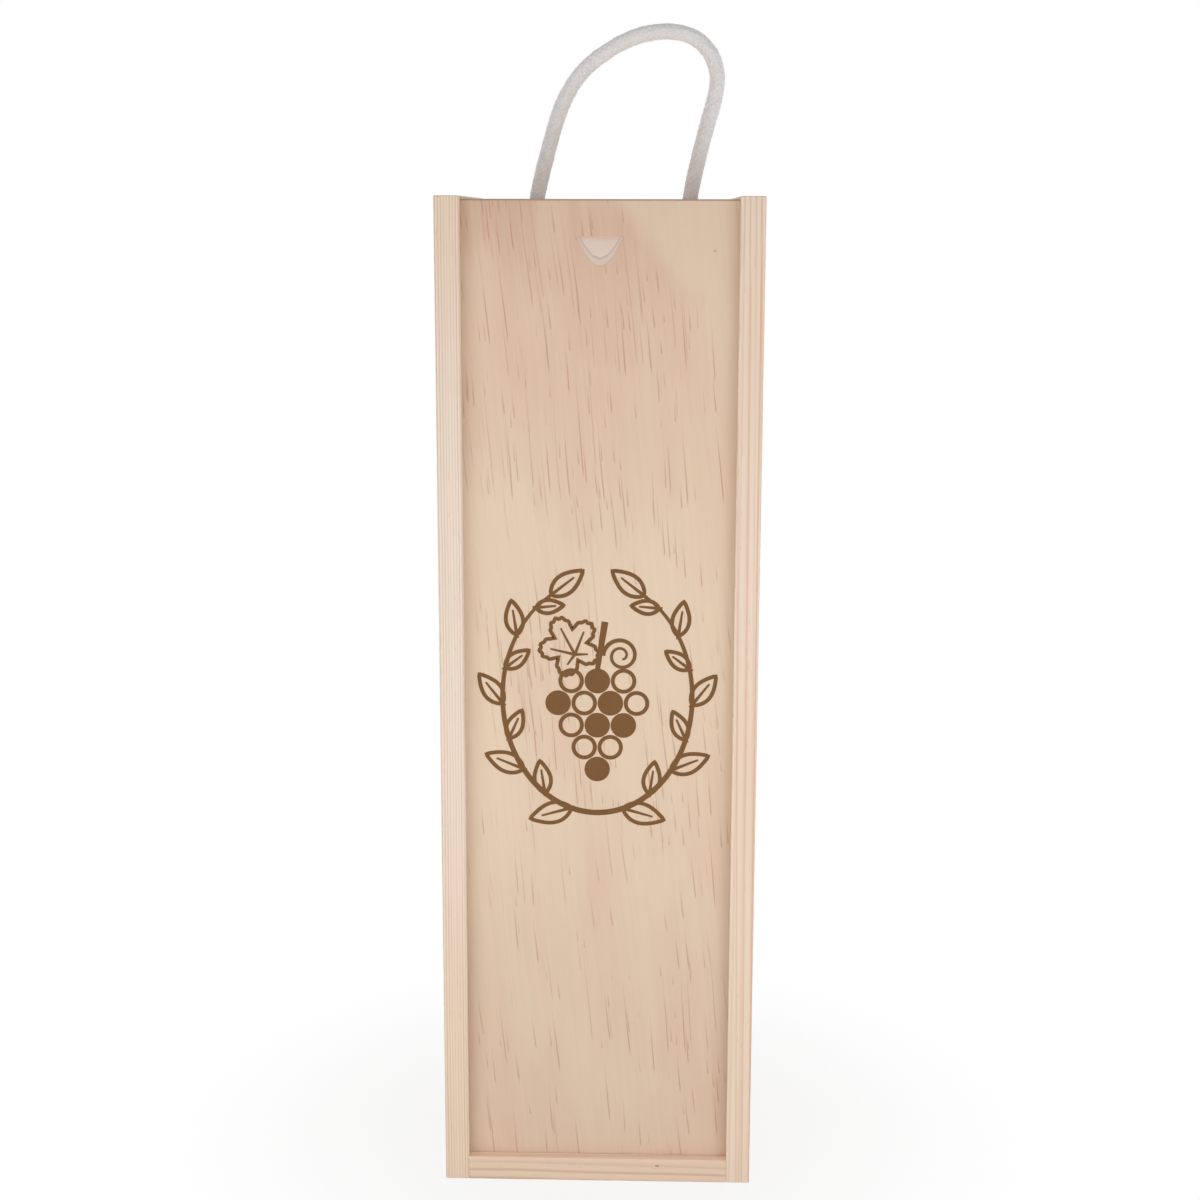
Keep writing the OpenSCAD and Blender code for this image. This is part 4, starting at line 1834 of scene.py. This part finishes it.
    def strokes(self) -> list[Stroke]:
        """Every line of the ornament, about its middle.

        Returns:
            The strokes.
        """
        made = [self.twig()]
        for side in (1, -1):
            made += self.wreath_leaves(side)
        made += self.bunch(6.0)
        made += self.vine_leaf(np.array([-9.5, 18.5]), 10.5, math.radians(118))
        made.append(self.tendril(np.array([2.0, 15.0])))
        stalk = np.stack([np.linspace(-0.5, 2.6, 20), np.linspace(6.5, 27.0, 20)], axis=1)
        made.append(Stroke(stalk, np.linspace(0.8, 1.2, 20), layer=1))
        return made


@dataclass
class Lid:
    """The sliding lid and the ornament printed on it."""

    face: float = -45.4 * MM
    proud: float = 0.045 * MM
    sunk: float = 0.12 * MM
    step_up: float = 0.004 * MM

    def bar(self, stroke: Stroke, middle: Pair, lift: float) -> np.ndarray:
        """The thin closed bar that a stroke makes on the lid's face.

        Args:
            stroke: the stroke.
            middle: the ornament's middle, in millimetres.
            lift: how much prouder than the lowest it stands.

        Returns:
            (rows, 4, 3).
        """
        line = stroke.line
        run = np.gradient(line, axis=0)
        if stroke.ring:
            run = np.roll(line, -1, axis=0) - np.roll(line, 1, axis=0)
        aside = unit(run) @ [[0, 1], [-1, 0]] * stroke.half[:, None]
        edges = np.stack([line + aside, line - aside, line - aside, line + aside], axis=1) + middle
        depth = np.array([self.face - self.proud - lift] * 2 + [self.face + self.sunk] * 2)
        grid = np.empty(edges.shape[:2] + (3,))
        grid[..., 0] = edges[..., 0] * MM
        grid[..., 1] = depth
        grid[..., 2] = edges[..., 1] * MM
        return grid

    def print_ornament(self) -> bpy.types.Object:
        """Lays the ornament's strokes on the lid, as one piece.

        Returns:
            The piece.
        """
        ornament = Ornament()
        points, faces, start = [], [], 0
        for stroke in ornament.strokes():
            grid = self.bar(stroke, ornament.middle, stroke.layer * self.step_up)
            rows = len(grid)
            corners = grid_quads(rows, 4, stroke.ring, True)
            faces += grid_faces(corners, rows, 4, start).tolist()
            faces += [] if stroke.ring else end_faces(rows, 4, start)
            points.append(grid.reshape(-1, 3))
            start += 4 * rows
        piece = new_piece("lid_ornament", np.vstack(points), faces)
        face_out(piece, 30.0)
        return piece

    def build(self) -> None:
        """Dresses the lid and prints the ornament."""
        ply = PlyFinish(
            "plywood_lid", front_mm=-45.4, thick_mm=4.0, low_mm=4.5, high_mm=348.8,
            marks=((38.3, 332.1, 0.55, 0.5),),
        )
        dress(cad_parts["sliding_lid"], ply.material())
        LOG.info("sliding_lid: dressed")
        ornament = self.print_ornament()
        dress(ornament, StainFinish().material())
        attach(ornament, LID)
        LOG.info("lid_ornament: %d faces", len(ornament.data.polygons))


# ---------------------------------------------------------------- the whole


def main() -> None:
    """Builds the studio, the rope, the case and the lid."""
    logging.basicConfig(level=logging.INFO, format="%(name)s: %(message)s")
    studio = Studio()
    studio.camera()
    Rope().build()
    Case().build()
    Lid().build()
    studio.build()


if __name__ == "__main__":
    main()
